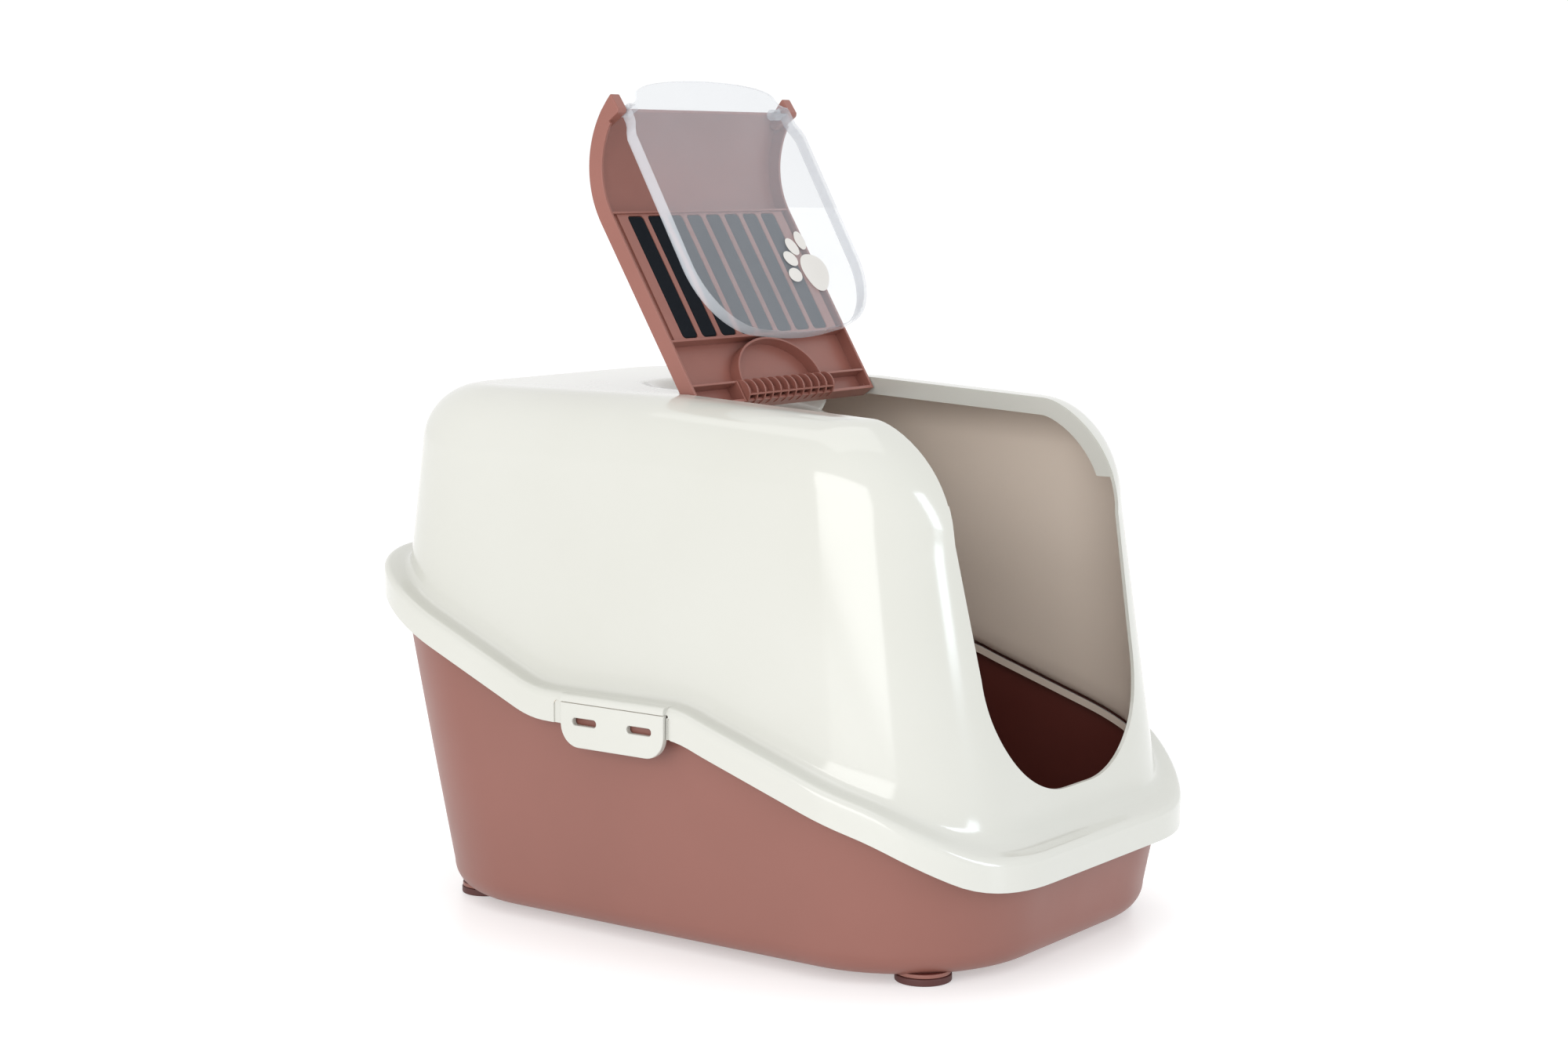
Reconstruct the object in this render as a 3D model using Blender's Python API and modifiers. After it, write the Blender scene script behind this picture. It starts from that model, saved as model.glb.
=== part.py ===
"""Cat litter box with hood: tray, hood, rear-hinged roof hatch with filter, and clear entrance flap.

Metres, +X towards the entrance, +Y left, +Z up. The origin is under the middle of the rim, at floor level.
The hatch is modelled closed and then opened; the flap is modelled in the open hatch, folded in.
"""

import math

import bmesh
import bpy
import numpy as np
from mathutils import Matrix, Vector

# Driving dimensions
RIM_LENGTH = 0.560
RIM_WIDTH = 0.390
RIM_RADIUS_FRONT = 0.120
RIM_RADIUS_REAR = 0.108
ROOF_HEIGHT = 0.384
ROOF_FALL = 0.055  # height lost for each metre forward of the hinge
SKIRT_HEIGHT = 0.022
SKIRT_ROUNDING = 0.005
LEDGE_WIDTH = 0.020
HOOD_WALL = 0.0026
TRAY_WALL = 0.0030
LOUVRE = 0.0080  # depth of the turned-down edge round the roof opening
LOUVRE_WALL = 0.0020
OPENING_HALF_WIDTH = 0.1095
ENTRANCE_HALF_WIDTH = 0.1050
ENTRANCE_SILL = 0.115
ENTRANCE_RADIUS = 0.080
NOTCH_HEIGHT = 0.3145
HATCH_HALF_WIDTH = 0.1075
HATCH_DEPTH = 0.0120
HATCH_WALL = 0.0024
HATCH_OPEN_DEG = 124.0
FLAP_HALF_WIDTH = 0.1020
FLAP_LENGTH = 0.187
FLAP_WALL = 0.0016
FLAP_EDGE = 0.0095
FLAP_LEAN_DEG = 28.8  # lean of the folded flap, from upright
PIN_RADIUS = 0.0020
FOOT_RADIUS = 0.0195
FOOT_HEIGHT = 0.0050
SLOT_COUNT = 8
SLOT_PITCH = 0.0227
SLOT_WIDTH = 0.0140
LATCH_WIDTH = 0.092
LATCH_DROP = 0.0150
LATCH_WALL = 0.0050
LATCH_PROUD = 0.0030  # how far the latches stand out from the skirt

# Clearances
TOUCH = 0.0003  # between pieces that rest on each other
RUNNING = 0.00009  # round a pin in its hole
RIM_PLAY = 0.0015  # between the tray's lip and the hood's ledge, measured upright
HATCH_GAP = 0.0025  # how far the closed hatch lies under the roof line
HINGE_SWING = 0.0054  # room behind the hatch for its rear corner

# Shape of the rim, seen from the side: distance forward of the middle, height of the skirt's lower edge
RIM_PATH = ((-0.285, 0.238), (-0.240, 0.227), (-0.078, 0.1575), (-0.055, 0.1565), (0.055, 0.1565),
            (0.068, 0.151), (0.208, 0.105), (0.240, 0.086), (0.266, 0.068), (0.285, 0.0665))
RIM_SMOOTHING = 0.012

# Hood wall where it turns into the roof
HOOD_TOP_FRONT = 0.2265
HOOD_TOP_REAR = 0.2500
HOOD_TOP_HALF_WIDTH = 0.1685
HOOD_TOP_RADIUS = 0.084
SHOULDER_RADIUS = 0.045
BROW_RADIUS = 0.080  # the larger rounding over the entrance

# Tray
TRAY_FOOT_FRONT = 0.259
TRAY_FOOT_REAR = 0.236
TRAY_FOOT_HALF_WIDTH = 0.172
TRAY_FOOT_RADIUS = 0.112
TRAY_EDGE_RADIUS = 0.026
TRAY_TOP_GAP = 0.0125  # between the tray's wall and the outside of the skirt
TRAY_LIP = 0.0055

# Dish for the fingers behind the hinge
DISH_LENGTH = 0.115
DISH_HALF_WIDTH = 0.082
DISH_DEPTH = 0.024
DISH_TONGUE = 0.022
DISH_STEEPNESS = 4.0
TONGUE_HALF_WIDTH = 0.0600

HINGE_INSET = 0.0050  # pivot, in from the hatch's rear face and down from its skin
HINGE_X = 0.0
HINGE_PIN_IN = 0.1035
HINGE_PIN_OUT = OPENING_HALF_WIDTH + 0.0045
EAR_WIDTH = 0.010
BOSS_RADIUS = 0.0058
BOSS_LENGTH = 0.0060
HATCH_FRONT_INSET = 0.003
HATCH_END = 0.326  # height of the skin's front end, closed
EAR_TIP = 0.3168
FLAP_PIVOT_X = 0.212
FLAP_PIVOT_Z = 0.322
GRIP_RIB = 0.017  # distances along the hatch, from its rear face
FILTER_START = 0.053
FILTER_END = 0.158
RIB = 0.0018
GRILLE_DEPTH = 0.0076
GRIP_RADIUS = 0.0075
GRIP_HALF_WIDTH = 0.052
CAVITY_HALF_WIDTH = 0.049
CAVITY_LENGTH = 0.034
FILTER_HALF_WIDTH = 0.0985
FILTER_PLAY = 0.0008
SLOT_CORNER = 0.0030

# Flap: heights are measured from its pivot
PLATE_OUT = 0.0105  # its outer face, forward of the pivot
FLAP_NECK = 0.0958  # half the width between the ears
FLAP_NECK_END = -0.012
FLAP_SHOULDER = -0.020
FLAP_CORNER_RADIUS = 0.056
FLAP_BOW = 0.004
FLAP_CREST_HALF = 0.083
FLAP_CREST_BASE = 0.012
FLAP_CREST_RISE = 0.009
KNUCKLE_RADIUS = 0.0042
KNUCKLE_LENGTH = 0.010
KNUCKLE_BORE = 0.008
WEB_LOW = -0.0036
WEB_HIGH = 0.0010

# Paw print on the flap, toes measured from the middle of the pad
PAW_SIDE = 0.038
PAW_DROP = 0.136
PAW_TURN_DEG = 50.0
PAW_THICKNESS = 0.0004
PAD_HALF_SIZE = (0.0180, 0.0148)
PAD_WAVE = 0.10
TOE_REACH = 0.0252
TOE_BEARINGS_DEG = (41.0, 13.0, -13.0, -41.0)
TOE_HALF_SIZE = (0.0048, 0.0076)

# Latches and the tray's catches behind them
LATCH_SLIT = 0.0008
LATCH_SEAT = 0.0060
LATCH_CRACK = 0.0009
LATCH_CORNER = 0.016
LATCH_SLOT_SIDE = 0.0245
LATCH_SLOT_LENGTH = 0.0215
LATCH_SLOT_WIDTH = 0.0052
LATCH_SLOT_CORNER = 0.0024
LATCH_UNDER_LEDGE = 0.0045
CATCH_LENGTH = 0.080
CATCH_THICKNESS = 0.012
CATCH_HEIGHT = 0.160
CATCH_ROOT = 0.1800
FOOT_INSET = 0.050
FOOT_PLACES = (TRAY_FOOT_FRONT - FOOT_INSET, FOOT_INSET - TRAY_FOOT_REAR)
FOOT_SIDE = TRAY_FOOT_HALF_WIDTH - FOOT_INSET

# Mesh density
PLAN_STEPS = 8  # pieces in each quarter of a plan corner
STRAIGHT_PIECES = (3, 12, 3, 12)  # front, right side, rear, left side
ROUND = 24

collection = bpy.data.collections.new("cat_litter_box_with_hood")
cutters = bpy.data.collections.new("cutters")


def clear_scene():
    for obj in list(bpy.data.objects):
        bpy.data.objects.remove(obj)
    bpy.context.scene.collection.children.link(collection)
    bpy.context.scene.collection.children.link(cutters)


def material(name, colour, roughness, alpha=1.0, transmission=0.0):
    made = bpy.data.materials.new(name)
    made.use_nodes = True
    shader = made.node_tree.nodes["Principled BSDF"]
    shader.inputs["Base Color"].default_value = (*colour, 1.0)
    shader.inputs["Roughness"].default_value = roughness
    shader.inputs["Metallic"].default_value = 0.0
    shader.inputs["Alpha"].default_value = alpha
    shader.inputs["Transmission Weight"].default_value = transmission
    return made


def new_object(name, mesh, surface=None):
    """A sub-part when it has a surface, a cutter when it has none."""
    obj = bpy.data.objects.new(name, mesh)
    if surface is None:
        cutters.objects.link(obj)
        obj.hide_render = True
        obj.display_type = "WIRE"
    else:
        collection.objects.link(obj)
        obj.data.materials.append(surface)
    return obj


def smooth(obj, angle_deg=35.0):
    obj.data.shade_smooth()
    obj.data.set_sharp_from_angle(angle=math.radians(angle_deg))


def combine(obj, other, operation):
    step = obj.modifiers.new(other.name, "BOOLEAN")
    step.operation = operation
    step.object = other
    step.solver = "EXACT"
    return step


def solid_from_curve(name, outlines, depth, matrix, surface=None):
    """A flat outline, with holes where outlines nest, made a solid that is centred on its plane."""
    data = bpy.data.curves.new(name, "CURVE")
    data.dimensions = "2D"
    data.fill_mode = "BOTH"
    data.extrude = depth / 2
    for outline in outlines:
        spline = data.splines.new("POLY")
        spline.points.add(len(outline) - 1)
        for point, (u, v) in zip(spline.points, outline):
            point.co = (u, v, 0.0, 1.0)
        spline.use_cyclic_u = True
    guide = bpy.data.objects.new(name + "_outline", data)
    cutters.objects.link(guide)
    guide.matrix_world = matrix
    bpy.context.view_layer.update()
    graph = bpy.context.evaluated_depsgraph_get()
    mesh = bpy.data.meshes.new_from_object(guide.evaluated_get(graph))
    mesh.transform(matrix)
    bpy.data.objects.remove(guide)
    shape = bmesh.new()
    shape.from_mesh(mesh)
    bmesh.ops.remove_doubles(shape, verts=shape.verts, dist=1e-6)
    bmesh.ops.recalc_face_normals(shape, faces=shape.faces)
    shape.to_mesh(mesh)
    shape.free()
    return new_object(name, mesh, surface)


def facing_y(y):
    """Takes a flat outline (u, v) to (x, z) in the upright plane at y."""
    return Matrix.Translation((0.0, y, 0.0)) @ Matrix.Rotation(math.radians(90.0), 4, "X")


def facing_x(x):
    """Takes a flat outline (u, v) to (y, z) in the upright plane at x."""
    turn = Matrix(((0, 0, 1, 0), (1, 0, 0, 0), (0, 1, 0, 0), (0, 0, 0, 1)))
    return Matrix.Translation((x, 0.0, 0.0)) @ turn


def box(name, low, high, surface=None, matrix=Matrix.Identity(4)):
    shape = bmesh.new()
    bmesh.ops.create_cube(shape, size=1.0)
    size = Vector(high) - Vector(low)
    bmesh.ops.scale(shape, vec=size, verts=shape.verts)
    bmesh.ops.translate(shape, vec=(Vector(high) + Vector(low)) / 2, verts=shape.verts)
    bmesh.ops.transform(shape, matrix=matrix, verts=shape.verts)
    mesh = bpy.data.meshes.new(name)
    shape.to_mesh(mesh)
    shape.free()
    return new_object(name, mesh, surface)


def rod(name, radius, start, end, surface=None, sides=ROUND):
    """A cylinder from one point to another."""
    start = Vector(start)
    along = Vector(end) - start
    turn = Vector((0, 0, 1)).rotation_difference(along).to_matrix().to_4x4()
    shape = bmesh.new()
    bmesh.ops.create_cone(shape, cap_ends=True, segments=sides, radius1=radius, radius2=radius,
                          depth=along.length, matrix=Matrix.Translation(start + along / 2) @ turn)
    mesh = bpy.data.meshes.new(name)
    shape.to_mesh(mesh)
    shape.free()
    return new_object(name, mesh, surface)


def arc(centre, radius, start_deg, end_deg, steps):
    """Points on a circle, first and last included."""
    angles = np.radians(np.linspace(start_deg, end_deg, steps + 1))
    return [(centre[0] + radius * math.cos(a), centre[1] + radius * math.sin(a)) for a in angles]


def rim_height(x):
    """Height of the skirt's lower edge, smoothed over its corners."""
    knots_x, knots_z = zip(*RIM_PATH)
    near = np.linspace(x - RIM_SMOOTHING, x + RIM_SMOOTHING, 9)
    return float(np.mean(np.interp(near, knots_x, knots_z)))


def roof_height(x):
    return ROOF_HEIGHT - ROOF_FALL * max(0.0, x)


def dish_drop(x, y):
    """How far the roof dips for the fingers."""
    back = min(1.0, max(0.0, -x / DISH_LENGTH))
    share = math.hypot(back, y / DISH_HALF_WIDTH)
    return DISH_DEPTH * min(1.0, DISH_STEEPNESS * max(0.0, 1.0 - share)) * (1.0 - back) ** 0.8


def plan(front, rear, half_width, front_radius, rear_radius):
    """A rounded rectangle seen from above: (x, y, outward x, outward y) for each point, from +Y forwards."""
    corners = ((front - front_radius, half_width - front_radius, front_radius, 90.0),
               (front - front_radius, front_radius - half_width, front_radius, 0.0),
               (rear_radius - rear, rear_radius - half_width, rear_radius, -90.0),
               (rear_radius - rear, half_width - rear_radius, rear_radius, -180.0))
    points = []
    for index, (cx, cy, radius, start) in enumerate(corners):
        for step in range(PLAN_STEPS + 1):
            angle = math.radians(start - 90.0 * step / PLAN_STEPS)
            out = (math.cos(angle), math.sin(angle))
            points.append((cx + radius * out[0], cy + radius * out[1], *out))
        following = corners[(index + 1) % 4]
        end = points[-1]
        angle = math.radians(following[3])
        begin = (following[0] + following[2] * math.cos(angle), following[1] + following[2] * math.sin(angle))
        pieces = STRAIGHT_PIECES[index]
        for step in range(1, pieces):
            share = step / pieces
            points.append((end[0] + share * (begin[0] - end[0]), end[1] + share * (begin[1] - end[1]),
                           end[2], end[3]))
    return points


def loft(name, loops, surface=None, cap_last=False):
    """A surface through closed loops with equal numbers of points."""
    shape = bmesh.new()
    rings = [[shape.verts.new(point) for point in loop] for loop in loops]
    for lower, upper in zip(rings, rings[1:]):
        for i in range(len(lower)):
            j = (i + 1) % len(lower)
            shape.faces.new((lower[j], lower[i], upper[i], upper[j]))
    if cap_last:
        shape.faces.new(rings[-1])
    bmesh.ops.remove_doubles(shape, verts=shape.verts, dist=1e-6)
    mesh = bpy.data.meshes.new(name)
    shape.to_mesh(mesh)
    shape.free()
    return new_object(name, mesh, surface)


def hood_loops():
    """The hood's outer face, from the skirt's lower edge up to the roof's middle line."""
    half = RIM_LENGTH / 2
    loops = []

    def rim_loop(inset, lift):
        shape = plan(half - inset, half - inset, RIM_WIDTH / 2 - inset,
                     RIM_RADIUS_FRONT - inset, RIM_RADIUS_REAR - inset)
        return [(x, y, rim_height(x) + lift) for x, y, _, _ in shape]

    loops.append(rim_loop(0.0, 0.0))
    loops.append(rim_loop(0.0, SKIRT_HEIGHT - SKIRT_ROUNDING))
    for turn in (30.0, 60.0, 90.0):
        angle = math.radians(turn)
        loops.append(rim_loop(SKIRT_ROUNDING * (1 - math.cos(angle)),
                              SKIRT_HEIGHT - SKIRT_ROUNDING * (1 - math.sin(angle))))
    loops.append(rim_loop(LEDGE_WIDTH - 0.003, SKIRT_HEIGHT + 0.0005))
    loops.append(rim_loop(LEDGE_WIDTH, SKIRT_HEIGHT + 0.003))
    foot = loops[-1]
    shape = plan(HOOD_TOP_FRONT, HOOD_TOP_REAR, HOOD_TOP_HALF_WIDTH, HOOD_TOP_RADIUS, HOOD_TOP_RADIUS)
    corner = [SHOULDER_RADIUS + (BROW_RADIUS - SHOULDER_RADIUS) * max(0.0, nx) ** 2 for _, _, nx, _ in shape]
    head = [(x, y, roof_height(x) - r) for (x, y, _, _), r in zip(shape, corner)]
    for share in (0.33, 0.66):
        loops.append([tuple(np.add(np.multiply(a, 1 - share), np.multiply(b, share)))
                      for a, b in zip(foot, head)])
    for turn in np.linspace(0.0, 90.0, 7):
        angle = math.radians(turn)
        loop = []
        for (x, y, nx, ny), r in zip(shape, corner):
            px = x - nx * r * (1 - math.cos(angle))
            py = y - ny * r * (1 - math.cos(angle))
            loop.append((px, py, roof_height(px) - r * (1 - math.sin(angle))))
        loops.append(loop)
    edge = loops[-1]
    low = min(p[0] for p in edge) + HOOD_TOP_HALF_WIDTH - SHOULDER_RADIUS
    high = max(p[0] for p in edge) - 0.06
    spine = [(min(max(p[0], low), high), 0.0) for p in edge]
    for share in (0.12, 0.28, 0.36, 0.50, 0.70, 1.0):
        loop = []
        for p, s in zip(edge, spine):
            x = p[0] + share * (s[0] - p[0])
            y = p[1] + share * (s[1] - p[1])
            loop.append((x, y, roof_height(x) - dish_drop(x, y)))
        loops.append(loop)
    return loops


def hatch_line(inset, front_end):
    """The closed hatch's side profile, (x, z), at a depth under its skin, from its rear to a height in front."""
    radius = BROW_RADIUS - HATCH_GAP
    cx = HOOD_TOP_FRONT - HATCH_FRONT_INSET - radius
    cz = roof_height(cx) - HATCH_GAP - radius
    level = 90.0 - math.degrees(math.atan(ROOF_FALL))
    end = math.degrees(math.asin((front_end - cz) / (radius - inset)))
    rear = HINGE_X - HINGE_INSET
    return [(rear, hatch_top(rear) - inset)] + arc((cx, cz), radius - inset, level, end, 12)


def hatch_top(x):
    """Height of the closed hatch's flat top, carried on behind the hinge at the roof's slope."""
    return ROOF_HEIGHT - HATCH_GAP - ROOF_FALL * x


HINGE_Z = ROOF_HEIGHT - HATCH_GAP - HINGE_INSET
OPEN_TURN = (Matrix.Translation((HINGE_X, 0, HINGE_Z))
             @ Matrix.Rotation(-math.radians(HATCH_OPEN_DEG), 4, "Y")
             @ Matrix.Translation((-HINGE_X, 0, -HINGE_Z)))
LATCH_TOP = rim_height(0.0) + SKIRT_HEIGHT - LATCH_UNDER_LEDGE


def place_on_axis(obj, point):
    """Moves the object's origin to a joint's axis without moving its shape."""
    obj.data.transform(Matrix.Translation(-Vector(point)) @ obj.matrix_world)
    obj.matrix_world = Matrix.Translation(point)


def make_hood(surface):
    hood = loft("hood", hood_loops(), surface)
    shell = hood.modifiers.new("wall", "SOLIDIFY")
    shell.thickness = HOOD_WALL
    shell.offset = -1.0

    reach = RIM_LENGTH
    rear_edge = HINGE_X - HINGE_INSET - HINGE_SWING
    tongue = [(rear_edge + (DISH_TONGUE - rear_edge) * math.cos(math.radians(a)),
               TONGUE_HALF_WIDTH * math.sin(math.radians(a))) for a in range(90, -91, -15)]
    outline = [(reach, OPENING_HALF_WIDTH), (rear_edge, OPENING_HALF_WIDTH), *tongue,
               (rear_edge, -OPENING_HALF_WIDTH), (reach, -OPENING_HALF_WIDTH)]
    roof_cut = solid_from_curve("roof_cut", [outline], ROOF_HEIGHT,
                                Matrix.Translation((0, 0, NOTCH_HEIGHT + ROOF_HEIGHT / 2)))
    combine(hood, roof_cut, "DIFFERENCE")

    top = NOTCH_HEIGHT + 0.01
    sill = ENTRANCE_SILL + ENTRANCE_RADIUS
    flank = ENTRANCE_HALF_WIDTH - ENTRANCE_RADIUS
    outline = [(ENTRANCE_HALF_WIDTH, top), (-ENTRANCE_HALF_WIDTH, top)]
    outline += arc((-flank, sill), ENTRANCE_RADIUS, 180.0, 270.0, 10)
    outline += arc((flank, sill), ENTRANCE_RADIUS, 270.0, 360.0, 10)
    entrance_cut = solid_from_curve("entrance_cut", [outline], 0.30, facing_x(0.33))
    combine(hood, entrance_cut, "DIFFERENCE")

    deep = loft("edge_band", hood_loops())
    thick = deep.modifiers.new("wall", "SOLIDIFY")
    thick.thickness = LOUVRE
    thick.offset = -1.0
    for side in (1, -1):
        inner = side * OPENING_HALF_WIDTH
        outer = side * (OPENING_HALF_WIDTH + LOUVRE_WALL)
        low = (rear_edge - 0.004, min(inner, outer), NOTCH_HEIGHT)
        high = (reach, max(inner, outer), ROOF_HEIGHT + 0.05)
        band = box(f"opening_edge_{'left' if side > 0 else 'right'}", low, high)
        combine(band, deep, "INTERSECT")
        combine(hood, band, "UNION")
        boss = rod(f"hinge_boss_{'left' if side > 0 else 'right'}", BOSS_RADIUS,
                   (HINGE_X, side * OPENING_HALF_WIDTH, HINGE_Z),
                   (HINGE_X, side * (OPENING_HALF_WIDTH + BOSS_LENGTH), HINGE_Z))
        combine(hood, boss, "UNION")
    bore = rod("hinge_bore", PIN_RADIUS + RUNNING, (HINGE_X, -0.2, HINGE_Z), (HINGE_X, 0.2, HINGE_Z))
    bore_box = box("hinge_bore_span", (-0.02, -HINGE_PIN_OUT, HINGE_Z - 0.02),
                   (0.02, HINGE_PIN_OUT, HINGE_Z + 0.02))
    combine(bore, bore_box, "INTERSECT")
    combine(hood, bore, "DIFFERENCE")

    for side in (1, -1):
        low = (-LATCH_WIDTH / 2 - LATCH_SLIT, side * RIM_WIDTH / 2 - LATCH_SEAT, 0.10)
        high = (LATCH_WIDTH / 2 + LATCH_SLIT, side * RIM_WIDTH / 2 + LATCH_SEAT, LATCH_TOP)
        low_y, high_y = sorted((low[1], high[1]))
        gap = box(f"latch_gap_{'left' if side > 0 else 'right'}", (low[0], low_y, low[2]),
                  (high[0], high_y, high[2]))
        combine(hood, gap, "DIFFERENCE")
    smooth(hood)
    return hood


def make_tray(surface):
    half = RIM_LENGTH / 2
    top_front = half - TRAY_TOP_GAP
    bottom = FOOT_HEIGHT + 2 * TOUCH
    rim_lift = SKIRT_HEIGHT - HOOD_WALL - RIM_PLAY

    def wall_loop(inset, level):
        """One loop of the tray's outer face; level runs from 0 at the floor's rounding to 1 at the rim."""
        foot = plan(TRAY_FOOT_FRONT - inset, TRAY_FOOT_REAR - inset, TRAY_FOOT_HALF_WIDTH - inset,
                    TRAY_FOOT_RADIUS - inset, TRAY_FOOT_RADIUS - inset)
        if level == 0.0:
            return [(x, y) for x, y, _, _ in foot]
        head = plan(top_front, top_front, RIM_WIDTH / 2 - TRAY_TOP_GAP,
                    RIM_RADIUS_FRONT - TRAY_TOP_GAP, RIM_RADIUS_REAR - TRAY_TOP_GAP)
        return [(a[0] + level * (b[0] - a[0]), a[1] + level * (b[1] - a[1])) for a, b in zip(foot, head)]

    loops = []
    for share in (0.0, 1.0):
        loops.append([(x * share, y * share, bottom) for x, y in wall_loop(TRAY_EDGE_RADIUS, 0.0)])
    for turn in (18.0, 36.0, 54.0, 72.0, 90.0):
        angle = math.radians(turn)
        inset = TRAY_EDGE_RADIUS * (1 - math.sin(angle))
        lift = TRAY_EDGE_RADIUS * (1 - math.cos(angle))
        loops.append([(x, y, bottom + lift) for x, y in wall_loop(inset, 0.0)])
    start = bottom + TRAY_EDGE_RADIUS
    for level in (0.25, 0.5, 0.75, 1.0):
        loops.append([(x, y, start + level * (rim_height(x) + rim_lift - start))
                      for x, y in wall_loop(0.0, level)])
    lip = plan(top_front + TRAY_LIP, top_front + TRAY_LIP, RIM_WIDTH / 2 - TRAY_TOP_GAP + TRAY_LIP,
               RIM_RADIUS_FRONT - TRAY_TOP_GAP + TRAY_LIP, RIM_RADIUS_REAR - TRAY_TOP_GAP + TRAY_LIP)
    loops.append([(x, y, rim_height(x) + rim_lift) for x, y, _, _ in lip])
    loops[-2] = [(x, y, z - TRAY_WALL) for x, y, z in loops[-2]]
    loops[-1] = [(x, y, z - TRAY_WALL) for x, y, z in loops[-1]]
    tray = loft("base_tray", loops, surface)
    shell = tray.modifiers.new("wall", "SOLIDIFY")
    shell.thickness = TRAY_WALL
    shell.offset = -1.0
    for sign in (1, -1):
        edges = sorted((sign * CATCH_ROOT, sign * (RIM_WIDTH / 2 + LATCH_PROUD - LATCH_WALL - TOUCH)))
        catch = box(f"catch_{'left' if sign > 0 else 'right'}",
                    (-CATCH_LENGTH / 2, edges[0], CATCH_HEIGHT - CATCH_THICKNESS / 2),
                    (CATCH_LENGTH / 2, edges[1], CATCH_HEIGHT + CATCH_THICKNESS / 2))
        combine(tray, catch, "UNION")
        for x in FOOT_PLACES:
            y = sign * FOOT_SIDE
            boss = rod(f"foot_boss_{'front' if x > 0 else 'rear'}_{'left' if sign > 0 else 'right'}",
                       FOOT_RADIUS + 0.001, (x, y, bottom - TOUCH), (x, y, bottom + 0.8 * TRAY_WALL))
            combine(tray, boss, "UNION")
    smooth(tray)
    return tray


def hatch_flat():
    """Frame on the closed hatch's skin: u forwards from its rear face, v left, w up out of the skin."""
    rear = HINGE_X - HINGE_INSET
    return (Matrix.Translation((rear, 0.0, hatch_top(rear)))
            @ Matrix.Rotation(math.atan(ROOF_FALL), 4, "Y"))


def rounded_slot(centre, length, width, corner):
    """Outline of a slot along u with rounded corners."""
    u, v = centre
    a, b = length / 2 - corner, width / 2 - corner
    return (arc((u + a, v + b), corner, 90, 0, 3) + arc((u + a, v - b), corner, 0, -90, 3)
            + arc((u - a, v - b), corner, -90, -180, 3) + arc((u - a, v + b), corner, -180, -270, 3))


def rectangle(low, high):
    return [(low[0], low[1]), (high[0], low[1]), (high[0], high[1]), (low[0], high[1])]


def slot_row(start, end, width):
    rows = [(i - (SLOT_COUNT - 1) / 2) * SLOT_PITCH for i in range(SLOT_COUNT)]
    return [rounded_slot(((start + end) / 2, v), end - start, width, SLOT_CORNER) for v in rows]


def at_depth(depth):
    return OPEN_TURN @ hatch_flat() @ Matrix.Translation((0, 0, -depth))


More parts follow.
